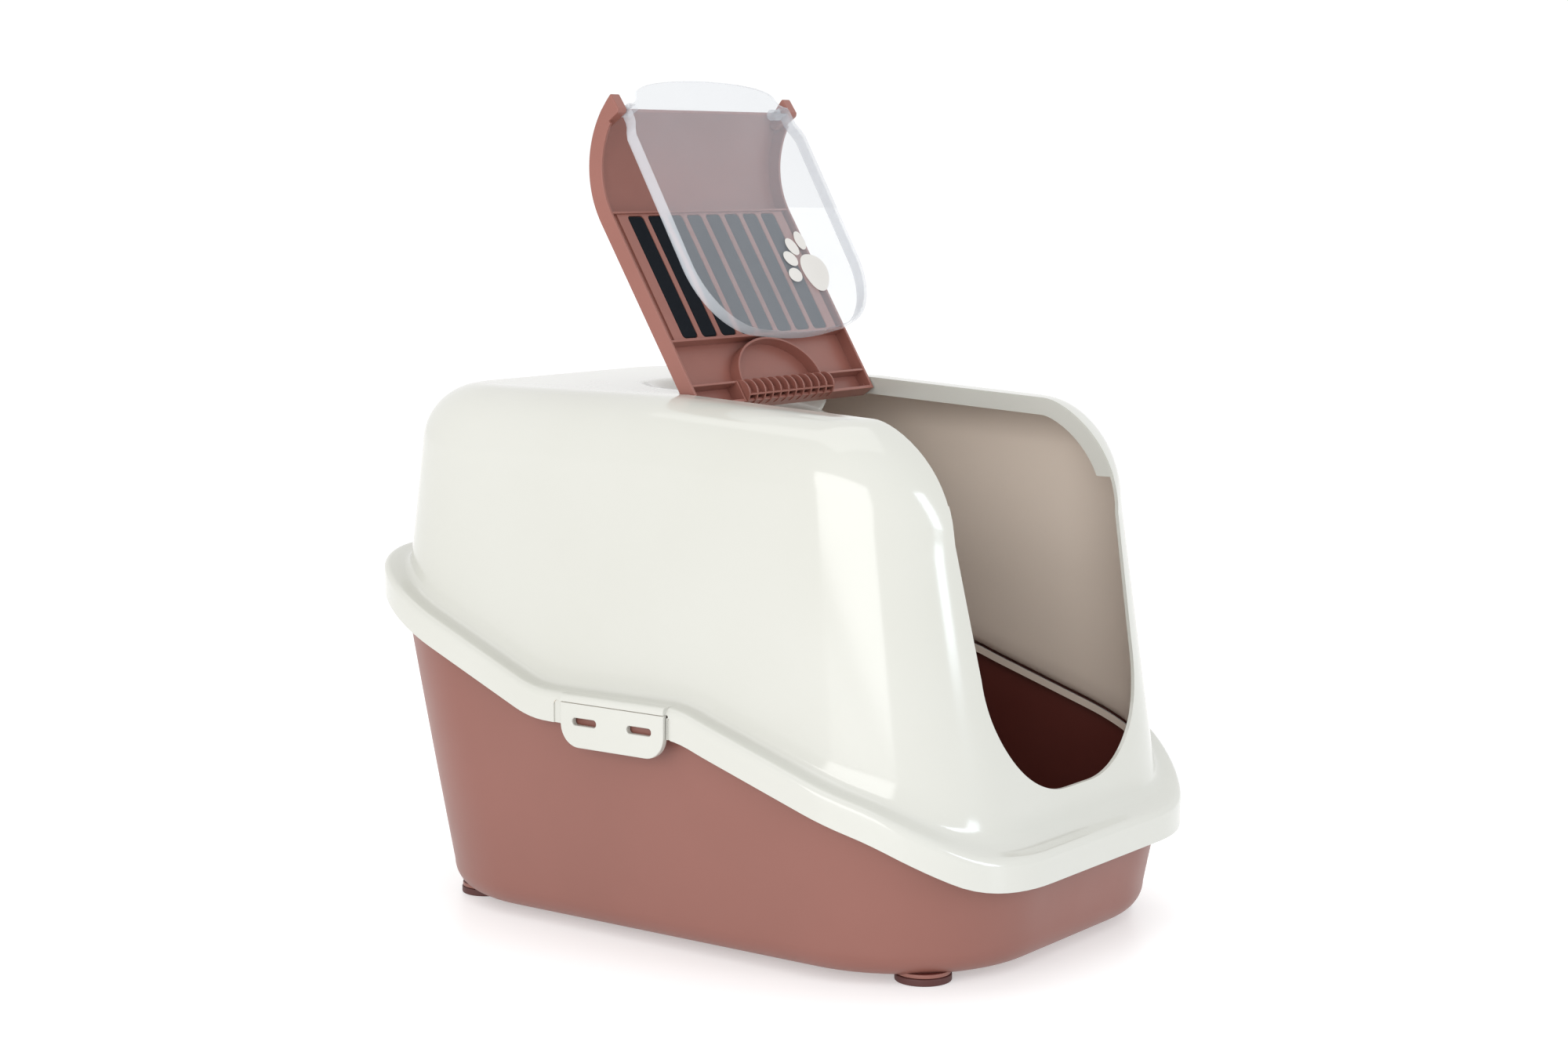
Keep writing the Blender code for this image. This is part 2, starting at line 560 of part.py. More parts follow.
def make_hatch(surface):
    skin = hatch_line(0.0, HATCH_END)
    rim = hatch_line(HATCH_DEPTH, HATCH_END)
    side = 2 * HATCH_HALF_WIDTH
    hatch = solid_from_curve("hatch_frame", [skin + rim[::-1]], side, OPEN_TURN @ facing_y(0.0), surface)
    inner = hatch_line(HATCH_WALL, HATCH_END - 0.01)
    below = hatch_line(HATCH_DEPTH + 0.02, HATCH_END - 0.01)
    inner[0] = (inner[0][0] + HATCH_WALL, inner[0][1])
    below[0] = (below[0][0] + HATCH_WALL, below[0][1])
    hollow = solid_from_curve("hatch_hollow", [inner + below[::-1]], side - 2 * HATCH_WALL,
                              OPEN_TURN @ facing_y(0.0))
    combine(hatch, hollow, "DIFFERENCE")

    flat = at_depth(0.0)
    window = box("filter_window", (FILTER_START + RIB, -FILTER_HALF_WIDTH, -GRILLE_DEPTH),
                 (FILTER_END - RIB, FILTER_HALF_WIDTH, 0.01), matrix=flat)
    combine(hatch, window, "DIFFERENCE")
    places = (("grip_rib", GRIP_RIB), ("filter_rib_rear", FILTER_START), ("filter_rib_front", FILTER_END))
    for name, place in places:
        bar = box(name, (place - RIB / 2, -HATCH_HALF_WIDTH + 0.001, -HATCH_DEPTH + 0.0006),
                  (place + RIB / 2, HATCH_HALF_WIDTH - 0.001, -0.001), matrix=flat)
        combine(hatch, bar, "UNION")
    edge = FILTER_HALF_WIDTH + RIB / 2
    low, high = (FILTER_START, -edge), (FILTER_END, edge)
    inset = FILTER_START + RIB + 0.002, FILTER_END - RIB - 0.002
    grille = solid_from_curve("grille", [rectangle(low, high)] + slot_row(*inset, SLOT_WIDTH), HATCH_WALL,
                              at_depth(GRILLE_DEPTH + HATCH_WALL / 2))
    combine(hatch, grille, "UNION")
    for sign in (1, -1):
        edges = sorted((sign * FILTER_HALF_WIDTH, sign * (FILTER_HALF_WIDTH + RIB)))
        wall = box(f"filter_side_{'left' if sign > 0 else 'right'}",
                   (FILTER_START, edges[0], -GRILLE_DEPTH - 0.001),
                   (FILTER_END, edges[1], -0.001), matrix=flat)
        combine(hatch, wall, "UNION")

    arch = [(GRIP_RIB + CAVITY_LENGTH * math.sin(math.radians(a)),
             CAVITY_HALF_WIDTH * math.cos(math.radians(a))) for a in range(0, 181, 12)]
    lining = [(GRIP_RIB + (CAVITY_LENGTH - RIB) * math.sin(math.radians(a)),
               (CAVITY_HALF_WIDTH - RIB) * math.cos(math.radians(a))) for a in range(0, 181, 12)]
    depth = HATCH_DEPTH - 0.002
    cavity = solid_from_curve("cavity_wall", [arch + lining[::-1]], depth, at_depth(0.001 + depth / 2))
    combine(hatch, cavity, "UNION")
    axis = GRIP_RADIUS + 0.001
    grip = rod("grip", GRIP_RADIUS, flat @ Vector((axis, -GRIP_HALF_WIDTH, -axis)),
               flat @ Vector((axis, GRIP_HALF_WIDTH, -axis)))
    combine(hatch, grip, "UNION")

    outer = hatch_line(0.0, EAR_TIP)[-4:]
    heel = (FLAP_PIVOT_X - 0.0055, EAR_TIP)
    knee = (FLAP_PIVOT_X - 0.0060, HATCH_END + 0.008)
    outline = [p for p in outer if p[1] < HATCH_END + 0.012] + [heel, knee]
    for sign in (1, -1):
        centre = sign * (HATCH_HALF_WIDTH - EAR_WIDTH / 2)
        ear = solid_from_curve(f"ear_{'left' if sign > 0 else 'right'}", [outline], EAR_WIDTH,
                               OPEN_TURN @ facing_y(centre))
        combine(hatch, ear, "UNION")
        near, far = HATCH_HALF_WIDTH - EAR_WIDTH - 0.01, HATCH_HALF_WIDTH - 0.002
        socket = rod(f"flap_bore_{'left' if sign > 0 else 'right'}", PIN_RADIUS + RUNNING,
                     OPEN_TURN @ Vector((FLAP_PIVOT_X, sign * near, FLAP_PIVOT_Z)),
                     OPEN_TURN @ Vector((FLAP_PIVOT_X, sign * far, FLAP_PIVOT_Z)))
        combine(hatch, socket, "DIFFERENCE")
        bore = rod(f"hatch_bore_{'left' if sign > 0 else 'right'}", PIN_RADIUS + RUNNING,
                   (HINGE_X, sign * 0.100, HINGE_Z), (HINGE_X, sign * 0.109, HINGE_Z))
        combine(hatch, bore, "DIFFERENCE")
    smooth(hatch)
    place_on_axis(hatch, (HINGE_X, 0.0, HINGE_Z))


def make_filter(felt, surface):
    flat = at_depth(0.0)
    low = (FILTER_START + RIB + FILTER_PLAY, FILTER_PLAY - FILTER_HALF_WIDTH)
    high = (FILTER_END - RIB - FILTER_PLAY, FILTER_HALF_WIDTH - FILTER_PLAY)
    pad = box("filter_pad", (*low, -GRILLE_DEPTH + TOUCH), (*high, -HATCH_WALL - 2 * TOUCH), felt, flat)
    inset = low[0] + 0.012, high[0] - 0.012
    cover = solid_from_curve("filter_cover", [rectangle(low, high)] + slot_row(*inset, SLOT_WIDTH / 2),
                             HATCH_WALL, at_depth(HATCH_WALL / 2), surface)
    for obj in (pad, cover):
        place_on_axis(obj, (HINGE_X, 0.0, HINGE_Z))


def make_flap(clear, print_surface, pin_surface):
    pivot = OPEN_TURN @ Vector((FLAP_PIVOT_X, 0.0, FLAP_PIVOT_Z))
    hang = Matrix.Translation(pivot) @ Matrix.Rotation(-math.radians(FLAP_LEAN_DEG), 4, "Y")

    def outline(inset, top):
        half = FLAP_HALF_WIDTH - inset
        neck = FLAP_NECK - inset
        corner = FLAP_CORNER_RADIUS - inset
        low = -FLAP_LENGTH + FLAP_BOW + inset
        right = [(neck, top), (neck, FLAP_NECK_END), (half, FLAP_SHOULDER)]
        right += arc((half - corner, low + corner), corner, 0.0, -80.0, 8)
        bow = [(0.0, -FLAP_LENGTH + inset)]
        left = [(-u, v) for u, v in reversed(right)]
        return right + bow + left

    rim = FLAP_EDGE
    shell = solid_from_curve("swing_flap", [outline(0.0, -0.003)], rim,
                             hang @ facing_x(PLATE_OUT - rim / 2), clear)
    pocket = solid_from_curve("flap_pocket", [outline(FLAP_WALL, 0.010)], rim,
                              hang @ facing_x(PLATE_OUT - rim / 2 - FLAP_WALL))
    combine(shell, pocket, "DIFFERENCE")
    crest = [(FLAP_CREST_HALF, FLAP_CREST_BASE)]
    crest += [(FLAP_CREST_HALF * math.cos(math.radians(a)),
               FLAP_CREST_BASE + FLAP_CREST_RISE * math.sin(math.radians(a))) for a in range(30, 151, 20)]
    crest += [(-FLAP_CREST_HALF, FLAP_CREST_BASE), (-FLAP_NECK, -0.001), (-FLAP_NECK, -0.006),
              (FLAP_NECK, -0.006), (FLAP_NECK, -0.001)]
    fin = solid_from_curve("flap_crest", [crest], FLAP_WALL - 0.0002,
                           hang @ facing_x(PLATE_OUT - FLAP_WALL / 2))
    combine(shell, fin, "UNION")
    for sign in (1, -1):
        side = "left" if sign > 0 else "right"
        near, far = sign * (FLAP_NECK - KNUCKLE_LENGTH), sign * FLAP_NECK
        knuckle = rod(f"knuckle_{side}", KNUCKLE_RADIUS, hang @ Vector((0, near, 0)),
                      hang @ Vector((0, far, 0)))
        combine(shell, knuckle, "UNION")
        low, high = sorted((near, far))
        web = box(f"knuckle_web_{side}", (0.0, low, WEB_LOW), (PLATE_OUT - 2 * TOUCH, high, WEB_HIGH),
                  matrix=hang)
        combine(shell, web, "UNION")
        bore = rod(f"knuckle_bore_{side}", PIN_RADIUS + RUNNING,
                   hang @ Vector((0, sign * (FLAP_NECK - KNUCKLE_BORE), 0)),
                   hang @ Vector((0, sign * (FLAP_NECK + 0.01), 0)))
        combine(shell, bore, "DIFFERENCE")
        start = pivot + Vector((0, sign * (FLAP_NECK - KNUCKLE_BORE + 0.0005), 0))
        end = pivot + Vector((0, sign * (HATCH_HALF_WIDTH - 0.0024), 0))
        pin = rod(f"flap_pin_{side}", PIN_RADIUS, start, end, pin_surface)
        place_on_axis(pin, pivot)
    smooth(shell)
    place_on_axis(shell, pivot)

    make_paw(hang, pivot, print_surface)


def make_paw(hang, pivot, surface):
    """A pad and four toes; u runs across the paw and v towards its toes, before the whole print is turned."""
    pad = []
    for angle in np.radians(np.arange(0.0, 360.0, 15.0)):
        wave = 1.0 + PAD_WAVE * math.cos(3 * angle + math.pi / 2)
        pad.append((PAD_HALF_SIZE[0] * wave * math.cos(angle), PAD_HALF_SIZE[1] * wave * math.sin(angle)))
    shapes = {"paw_print_pad": pad}
    for number, bearing in enumerate(np.radians(TOE_BEARINGS_DEG), 1):
        toe = []
        for angle in np.radians(np.arange(0.0, 360.0, 24.0)):
            u = TOE_HALF_SIZE[0] * math.cos(angle)
            v = TOE_REACH + TOE_HALF_SIZE[1] * math.sin(angle)
            toe.append((u * math.cos(bearing) - v * math.sin(bearing),
                        u * math.sin(bearing) + v * math.cos(bearing)))
        shapes[f"paw_print_toe_{number}"] = toe
    place = (hang @ facing_x(PLATE_OUT + TOUCH + PAW_THICKNESS / 2)
             @ Matrix.Translation((PAW_SIDE, -PAW_DROP, 0.0))
             @ Matrix.Rotation(math.radians(PAW_TURN_DEG), 4, "Z"))
    for name, points in shapes.items():
        film = solid_from_curve(name, [points], PAW_THICKNESS, place, surface)
        place_on_axis(film, pivot)


def make_hinge_pins(surface):
    for sign in (1, -1):
        pin = rod(f"hatch_pin_{'left' if sign > 0 else 'right'}", PIN_RADIUS,
                  (HINGE_X, sign * HINGE_PIN_IN, HINGE_Z),
                  (HINGE_X, sign * (HINGE_PIN_OUT - TOUCH), HINGE_Z), surface)
        place_on_axis(pin, (HINGE_X, 0.0, HINGE_Z))


def make_latches(surface):
    top = LATCH_TOP - LATCH_CRACK
    bottom = rim_height(0.0) - LATCH_DROP
    half = LATCH_WIDTH / 2
    corner = LATCH_CORNER
    outline = [(half, top), (-half, top)]
    outline += arc((-half + corner, bottom + corner), corner, 180.0, 270.0, 6)
    outline += arc((half - corner, bottom + corner), corner, 270.0, 360.0, 6)
    slots = [rounded_slot((sign * LATCH_SLOT_SIDE, CATCH_HEIGHT), LATCH_SLOT_LENGTH, LATCH_SLOT_WIDTH,
                          LATCH_SLOT_CORNER) for sign in (1, -1)]
    for sign in (1, -1):
        y = sign * (RIM_WIDTH / 2 + LATCH_PROUD - LATCH_WALL / 2)
        latch = solid_from_curve(f"latch_{'left' if sign > 0 else 'right'}", [outline] + slots, LATCH_WALL,
                                 facing_y(y), surface)
        place_on_axis(latch, (0.0, y, top))


def make_feet(surface):
    number = 0
    for x in FOOT_PLACES:
        for sign in (1, -1):
            number += 1
            y = sign * FOOT_SIDE
            rod(f"foot_{number}", FOOT_RADIUS, (x, y, 0.0), (x, y, FOOT_HEIGHT), surface, 32)



clear_scene()
terracotta = material("terracotta_plastic", (0.36, 0.165, 0.135), 0.45)
white = material("white_gloss_plastic", (0.80, 0.80, 0.77), 0.12)
clear_plastic = material("clear_plastic", (0.86, 0.90, 0.94), 0.06, 0.35, 0.9)
carbon_felt = material("carbon_felt", (0.012, 0.014, 0.018), 0.95)
print_film = material("print_film", (0.62, 0.60, 0.57), 0.5)
foot_rubber = material("foot_rubber", (0.07, 0.02, 0.018), 0.7)
make_hood(white)
make_tray(terracotta)
make_latches(white)
make_feet(foot_rubber)
make_hatch(terracotta)
make_filter(carbon_felt, terracotta)
make_hinge_pins(terracotta)
make_flap(clear_plastic, print_film, clear_plastic)
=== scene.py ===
import math

import bmesh
import bpy
import numpy as np
from mathutils import Matrix, Vector


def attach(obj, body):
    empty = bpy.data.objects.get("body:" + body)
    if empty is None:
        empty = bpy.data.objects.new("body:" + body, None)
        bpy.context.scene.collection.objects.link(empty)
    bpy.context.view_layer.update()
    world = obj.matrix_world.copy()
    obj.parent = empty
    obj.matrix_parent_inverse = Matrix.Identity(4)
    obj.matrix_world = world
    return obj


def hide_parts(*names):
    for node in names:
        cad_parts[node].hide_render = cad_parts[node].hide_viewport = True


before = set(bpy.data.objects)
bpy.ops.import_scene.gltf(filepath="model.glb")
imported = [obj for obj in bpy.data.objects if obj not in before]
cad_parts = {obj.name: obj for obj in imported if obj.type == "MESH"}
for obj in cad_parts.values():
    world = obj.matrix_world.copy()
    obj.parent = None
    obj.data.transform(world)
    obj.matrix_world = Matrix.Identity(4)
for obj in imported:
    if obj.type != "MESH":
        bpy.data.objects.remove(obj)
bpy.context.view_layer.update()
print("frame loaded:", len(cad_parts), "CAD nodes")


def dropSelection():
    if bpy.context.mode != "OBJECT":
        bpy.ops.object.mode_set(mode="OBJECT")
    bpy.ops.object.select_all(action="DESELECT")


def takeHold(obj):
    dropSelection()
    obj.select_set(True)
    bpy.context.view_layer.objects.active = obj
    return obj


def inEditMode(obj, select="SELECT"):
    takeHold(obj)
    bpy.ops.object.mode_set(mode="EDIT")
    bpy.ops.mesh.select_mode(type="VERT")
    bpy.ops.mesh.select_all(action=select)


def backToObject():
    bpy.ops.object.mode_set(mode="OBJECT")


def cleanMesh(obj):
    inEditMode(obj)
    bpy.ops.mesh.remove_doubles(threshold=0.00001)
    bpy.ops.mesh.normals_make_consistent(inside=False)
    backToObject()


def applyAll(obj):
    takeHold(obj)
    for step in list(obj.modifiers):
        bpy.ops.object.modifier_apply(modifier=step.name)


def roundEdges(obj, width, segments=2, angle=40.0):
    step = obj.modifiers.new("roundedEdges", "BEVEL")
    step.width = width
    step.segments = segments
    step.limit_method = "ANGLE"
    step.angle_limit = math.radians(angle)
    applyAll(obj)


def shadeSmooth(obj, angle=35.0):
    takeHold(obj)
    bpy.ops.object.shade_smooth_by_angle(angle=math.radians(angle))


def booleanWith(obj, other, operation, keep=False):
    step = obj.modifiers.new(operation.lower(), "BOOLEAN")
    step.operation = operation
    step.object = other
    step.solver = "EXACT"
    applyAll(obj)
    if not keep:
        bpy.data.objects.remove(other)


def joinPieces(name, objs):
    dropSelection()
    for obj in objs:
        obj.select_set(True)
    bpy.context.view_layer.objects.active = objs[0]
    bpy.ops.object.join()
    objs[0].name = objs[0].data.name = name
    return objs[0]


def arc(centre, radius, startDeg, endDeg, steps):
    angles = np.radians(np.linspace(startDeg, endDeg, steps + 1))
    return [(centre[0] + radius * math.cos(a), centre[1] + radius * math.sin(a)) for a in angles]


def ringOf(name, count):
    dropSelection()
    bpy.ops.mesh.primitive_circle_add(vertices=count, radius=0.1)
    obj = bpy.context.object
    obj.name = obj.data.name = name
    return obj


def pullThrough(name, loops, closed=False):
    # each new ring of points is pulled out of the last one
    obj = ringOf(name, len(loops[0]))
    for vertex, place in zip(obj.data.vertices, loops[0]):
        vertex.co = place
    inEditMode(obj)
    for near, far in zip(loops, loops[1:]):
        bpy.ops.mesh.extrude_region_move()  # the open ring, pulled out to the next place
        grid = bmesh.from_edit_mesh(obj.data)
        moved = [v for v in grid.verts if v.select]
        at = np.array([v.co for v in moved])
        nearest = np.linalg.norm(at[:, None, :] - np.array(near)[None, :, :], axis=2).argmin(axis=1)
        for vertex, index in zip(moved, nearest):
            vertex.co = far[index]
        bmesh.update_edit_mesh(obj.data)
    if closed:
        bpy.ops.mesh.edge_face_add()
    bpy.ops.mesh.select_all(action="SELECT")
    bpy.ops.mesh.remove_doubles(threshold=0.00001)
    backToObject()
    middle = sum((v.co for v in obj.data.vertices), Vector()) / len(obj.data.vertices)
    outward = sum(p.area * p.normal.dot(p.center - middle) for p in obj.data.polygons)
    if outward < 0:
        inEditMode(obj)
        bpy.ops.mesh.flip_normals()
        backToObject()
    return obj


def plate(name, outline, low, high, place=Matrix.Identity(4), edge=0.0, segments=2):
    obj = ringOf(name, len(outline))
    for vertex, (u, v) in zip(obj.data.vertices, outline):
        vertex.co = (u, v, low)
    inEditMode(obj)
    bpy.ops.mesh.edge_face_add()
    bpy.ops.mesh.extrude_region_move(TRANSFORM_OT_translate={"value": (0.0, 0.0, high - low)})
    backToObject()
    cleanMesh(obj)
    if edge:
        roundEdges(obj, edge, segments)
    obj.data.transform(place)
    return obj


def block(name, low, high, place=Matrix.Identity(4), edge=0.0, segments=2):
    dropSelection()
    middle = [(a + b) / 2 for a, b in zip(low, high)]
    bpy.ops.mesh.primitive_cube_add(size=1.0, location=middle)
    obj = bpy.context.object
    obj.name = obj.data.name = name
    obj.scale = [b - a for a, b in zip(low, high)]
    bpy.ops.object.transform_apply(location=True, rotation=True, scale=True)
    if edge:
        roundEdges(obj, edge, segments)
    obj.data.transform(place)
    return obj


def pin(name, radius, start, end, edge=0.0, sides=32):
    dropSelection()
    start, end = Vector(start), Vector(end)
    along = end - start
    bpy.ops.mesh.primitive_cylinder_add(vertices=sides, radius=radius, depth=along.length)
    obj = bpy.context.object
    obj.name = obj.data.name = name
    if edge:
        roundEdges(obj, edge, 3)
    turn = Vector((0, 0, 1)).rotation_difference(along).to_matrix().to_4x4()
    obj.data.transform(Matrix.Translation((start + end) / 2) @ turn)
    return obj


def finishPiece(obj, body, surface, slotName, *nodes, angle=35.0, flatten=True):
    obj.data.materials.clear()
    obj.data.materials.append(surface)
    shadeSmooth(obj, angle)
    if flatten:
        # broad faces stay flat beside narrow ones
        flatFirst = obj.modifiers.new("flatFirst", "WEIGHTED_NORMAL")
        flatFirst.keep_sharp = True
        flatFirst.weight = 80
        applyAll(obj)
    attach(obj, body)
    if nodes:
        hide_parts(*nodes)
    return obj


def paintWhere(obj, surface, test):
    obj.data.materials.append(surface)
    for face in obj.data.polygons:
        if test(face.center, face.normal):
            face.material_index = 1


def facesIn(centre, normal, level):
    away = Vector((centre.x - max(-0.1, min(0.1, centre.x)), centre.y, centre.z - level))
    return normal.dot(away.normalized()) < -0.3


def alongY(y):
    return Matrix.Translation((0.0, y, 0.0)) @ Matrix.Rotation(math.radians(90.0), 4, "X")


def alongX(x):
    turn = Matrix(((0, 0, 1, 0), (1, 0, 0, 0), (0, 1, 0, 0), (0, 0, 0, 1)))
    return Matrix.Translation((x, 0.0, 0.0)) @ turn


def roundedRectangle(middle, length, width, corner, steps=5):
    u, v = middle
    a, b = length / 2 - corner, width / 2 - corner
    return (arc((u + a, v + b), corner, 90, 0, steps) + arc((u + a, v - b), corner, 0, -90, steps)
            + arc((u - a, v - b), corner, -90, -180, steps) + arc((u - a, v + b), corner, -180, -270, steps))


patchScale = 30.0  # dull patches on every moulded part, per metre


def newMaterial(name):
    made = bpy.data.materials.new(name)
    made.use_nodes = True
    return made, made.node_tree.nodes, made.node_tree.links


def mouldedPlastic(name, look):
    made, nodes, links = newMaterial(name)
    shader = nodes["Principled BSDF"]
    shader.inputs["Roughness"].default_value = look["roughness"]
    shader.inputs["Specular IOR Level"].default_value = look.get("gloss", 0.5)
    place = nodes.new("ShaderNodeTexCoord")
    flow = nodes.new("ShaderNodeTexNoise")  # slow drift of the pigment
    flow.inputs["Scale"].default_value = look.get("flowScale", 9.0)
    flow.inputs["Detail"].default_value = 3.0
    ramp = nodes.new("ShaderNodeValToRGB")
    ramp.color_ramp.elements[0].position = 0.3
    ramp.color_ramp.elements[1].position = 0.7
    ramp.color_ramp.elements[0].color = (*look["shade"], 1.0)
    ramp.color_ramp.elements[1].color = (*look["tint"], 1.0)
    links.new(place.outputs["Object"], flow.inputs["Vector"])
    links.new(flow.outputs["Fac"], ramp.inputs["Fac"])
    links.new(ramp.outputs["Color"], shader.inputs["Base Color"])
    sheen = nodes.new("ShaderNodeMapRange")  # patches slightly duller than the rest
    sheen.inputs["To Min"].default_value = look["roughness"] * 0.85
    sheen.inputs["To Max"].default_value = look["roughness"] * 1.2
    patch = nodes.new("ShaderNodeTexNoise")
    patch.inputs["Scale"].default_value = patchScale
    patch.inputs["Detail"].default_value = 4.0
    links.new(place.outputs["Object"], patch.inputs["Vector"])
    links.new(patch.outputs["Fac"], sheen.inputs["Value"])
    links.new(sheen.outputs["Result"], shader.inputs["Roughness"])
    grain = nodes.new("ShaderNodeTexNoise")  # the mould's own fine texture
    grain.inputs["Scale"].default_value = look["grainScale"]
    grain.inputs["Detail"].default_value = 2.0
    bump = nodes.new("ShaderNodeBump")
    bump.inputs["Strength"].default_value = look["grain"]
    bump.inputs["Distance"].default_value = look.get("grainHeight", 0.0002)
    links.new(place.outputs["Object"], grain.inputs["Vector"])
    links.new(grain.outputs["Fac"], bump.inputs["Height"])
    links.new(bump.outputs["Normal"], shader.inputs["Normal"])
    return made


whiteLook = {"shade": (0.520, 0.520, 0.475), "tint": (0.545, 0.545, 0.505), "roughness": 0.12, "gloss": 0.75,
             "grain": 0.01, "grainScale": 22.0, "flowScale": 5.0}
# painted light: a warmer, lighter white for the hood's inward faces, painted terracotta bounce light
warmBounceLook = {"shade": (0.800, 0.700, 0.600), "tint": (0.830, 0.730, 0.630),
                   "roughness": 0.30, "gloss": 0.4, "grain": 0.04, "grainScale": 70.0, "flowScale": 5.0}
# painted shade: a much darker red for the tray's inward faces, standing in for the shade inside the tray
trayPaintedShadeLook = {"shade": (0.105, 0.024, 0.018), "tint": (0.125, 0.030, 0.023),
                  "roughness": 0.42, "gloss": 0.35, "grain": 0.15, "grainScale": 900.0,
                  "grainHeight": 0.0001, "flowScale": 7.0}
terracottaLook = {"shade": (0.215, 0.086, 0.067), "tint": (0.235, 0.094, 0.074),
                  "roughness": 0.40, "gloss": 0.45, "grain": 0.18, "grainScale": 900.0,
                  "grainHeight": 0.00012, "flowScale": 7.0}
hatchLook = {"shade": (0.235, 0.088, 0.067), "tint": (0.265, 0.101, 0.078), "roughness": 0.34, "gloss": 0.5,
             "grain": 0.12, "grainScale": 700.0, "grainHeight": 0.0001, "flowScale": 14.0}
rubberLook = {"shade": (0.060, 0.014, 0.012), "tint": (0.080, 0.019, 0.016), "roughness": 0.55,
              "grain": 0.3, "grainScale": 800.0}
filmLook = {"shade": (0.56, 0.54, 0.51), "tint": (0.63, 0.61, 0.58), "roughness": 0.45,
            "grain": 0.1, "grainScale": 1200.0}


def clearPlastic(name, look):
    made, nodes, links = newMaterial(name)
    shader = nodes["Principled BSDF"]
    shader.inputs["Base Color"].default_value = (*look["colour"], 1.0)
    shader.inputs["Roughness"].default_value = look["roughness"]
    shader.inputs["IOR"].default_value = 1.5
    facing = nodes.new("ShaderNodeLayerWeight")
    facing.inputs["Blend"].default_value = look["blend"]
    veil = nodes.new("ShaderNodeMapRange")  # clearer face on, whiter along the edges
    veil.inputs["To Min"].default_value = look["faceOn"]
    veil.inputs["To Max"].default_value = look["edgeOn"]
    place = nodes.new("ShaderNodeTexCoord")
    haze = nodes.new("ShaderNodeTexNoise")
    haze.inputs["Scale"].default_value = look["hazeScale"]
    haze.inputs["Detail"].default_value = 3.0
    hazeAmount = nodes.new("ShaderNodeMath")
    hazeAmount.operation = "MULTIPLY_ADD"
    hazeAmount.inputs[1].default_value = look["haze"]
    links.new(place.outputs["Object"], haze.inputs["Vector"])
    links.new(haze.outputs["Fac"], hazeAmount.inputs[0])
    links.new(facing.outputs["Facing"], veil.inputs["Value"])
    links.new(veil.outputs["Result"], hazeAmount.inputs[2])
    links.new(hazeAmount.outputs["Value"], shader.inputs["Alpha"])
    ripple = nodes.new("ShaderNodeTexNoise")
    ripple.inputs["Scale"].default_value = 22.0
    bump = nodes.new("ShaderNodeBump")
    bump.inputs["Strength"].default_value = 0.08
    bump.inputs["Distance"].default_value = 0.001
    links.new(place.outputs["Object"], ripple.inputs["Vector"])
    links.new(ripple.outputs["Fac"], bump.inputs["Height"])
    links.new(bump.outputs["Normal"], shader.inputs["Normal"])
    return made


clearLook = {"colour": (0.47, 0.50, 0.54), "roughness": 0.06, "blend": 0.22, "faceOn": 0.03, "edgeOn": 0.50,
             "haze": 0.09, "hazeScale": 6.0}
# painted highlight: a whiter, less clear version of the shell for the flap's edge walls
clearEdgeHighlightLook = {"colour": (0.72, 0.76, 0.81), "roughness": 0.08, "blend": 0.35, "faceOn": 0.22, "edgeOn": 0.55,
                "haze": 0.15, "hazeScale": 14.0}


def feltMaterial(name, look):
    made, nodes, links = newMaterial(name)
    shader = nodes["Principled BSDF"]
    shader.inputs["Roughness"].default_value = 0.95
    shader.inputs["Specular IOR Level"].default_value = 0.15
    shader.inputs["Sheen Weight"].default_value = look["sheen"]
    shader.inputs["Sheen Roughness"].default_value = 0.6
    shader.inputs["Sheen Tint"].default_value = (0.25, 0.33, 0.42, 1.0)
    place = nodes.new("ShaderNodeTexCoord")
    fibre = nodes.new("ShaderNodeTexNoise")
    fibre.inputs["Scale"].default_value = look["fibreScale"]
    fibre.inputs["Detail"].default_value = 8.0
    fibre.inputs["Roughness"].default_value = 0.75
    ramp = nodes.new("ShaderNodeValToRGB")
    ramp.color_ramp.elements[0].color = (*look["shade"], 1.0)
    ramp.color_ramp.elements[1].color = (*look["tint"], 1.0)
    bump = nodes.new("ShaderNodeBump")
    bump.inputs["Strength"].default_value = 0.9
    bump.inputs["Distance"].default_value = 0.001
    links.new(place.outputs["Object"], fibre.inputs["Vector"])
    links.new(fibre.outputs["Fac"], ramp.inputs["Fac"])
    links.new(ramp.outputs["Color"], shader.inputs["Base Color"])
    links.new(fibre.outputs["Fac"], bump.inputs["Height"])
    links.new(bump.outputs["Normal"], shader.inputs["Normal"])
    return made


feltLook = {"shade": (0.0008, 0.0012, 0.0022), "tint": (0.006, 0.009, 0.014),
            "sheen": 0.04, "fibreScale": 900.0}

whitePlastic = mouldedPlastic("whiteGlossPlastic", whiteLook)
terracotta = mouldedPlastic("terracottaPlastic", terracottaLook)
warmBouncePlastic = mouldedPlastic("whitePlasticWarmBounce", warmBounceLook)
trayPaintedShade = mouldedPlastic("terracottaPaintedShade", trayPaintedShadeLook)
hatchTerracotta = mouldedPlastic("hatchTerracotta", hatchLook)
footRubber = mouldedPlastic("footRubber", rubberLook)
printFilm = mouldedPlastic("printFilm", filmLook)
clearShell = clearPlastic("clearPlastic", clearLook)
clearEdgeHighlight = clearPlastic("clearPlasticEdgeHighlight", clearEdgeHighlightLook)
carbonFelt = feltMaterial("carbonFelt", feltLook)
print("materials made")


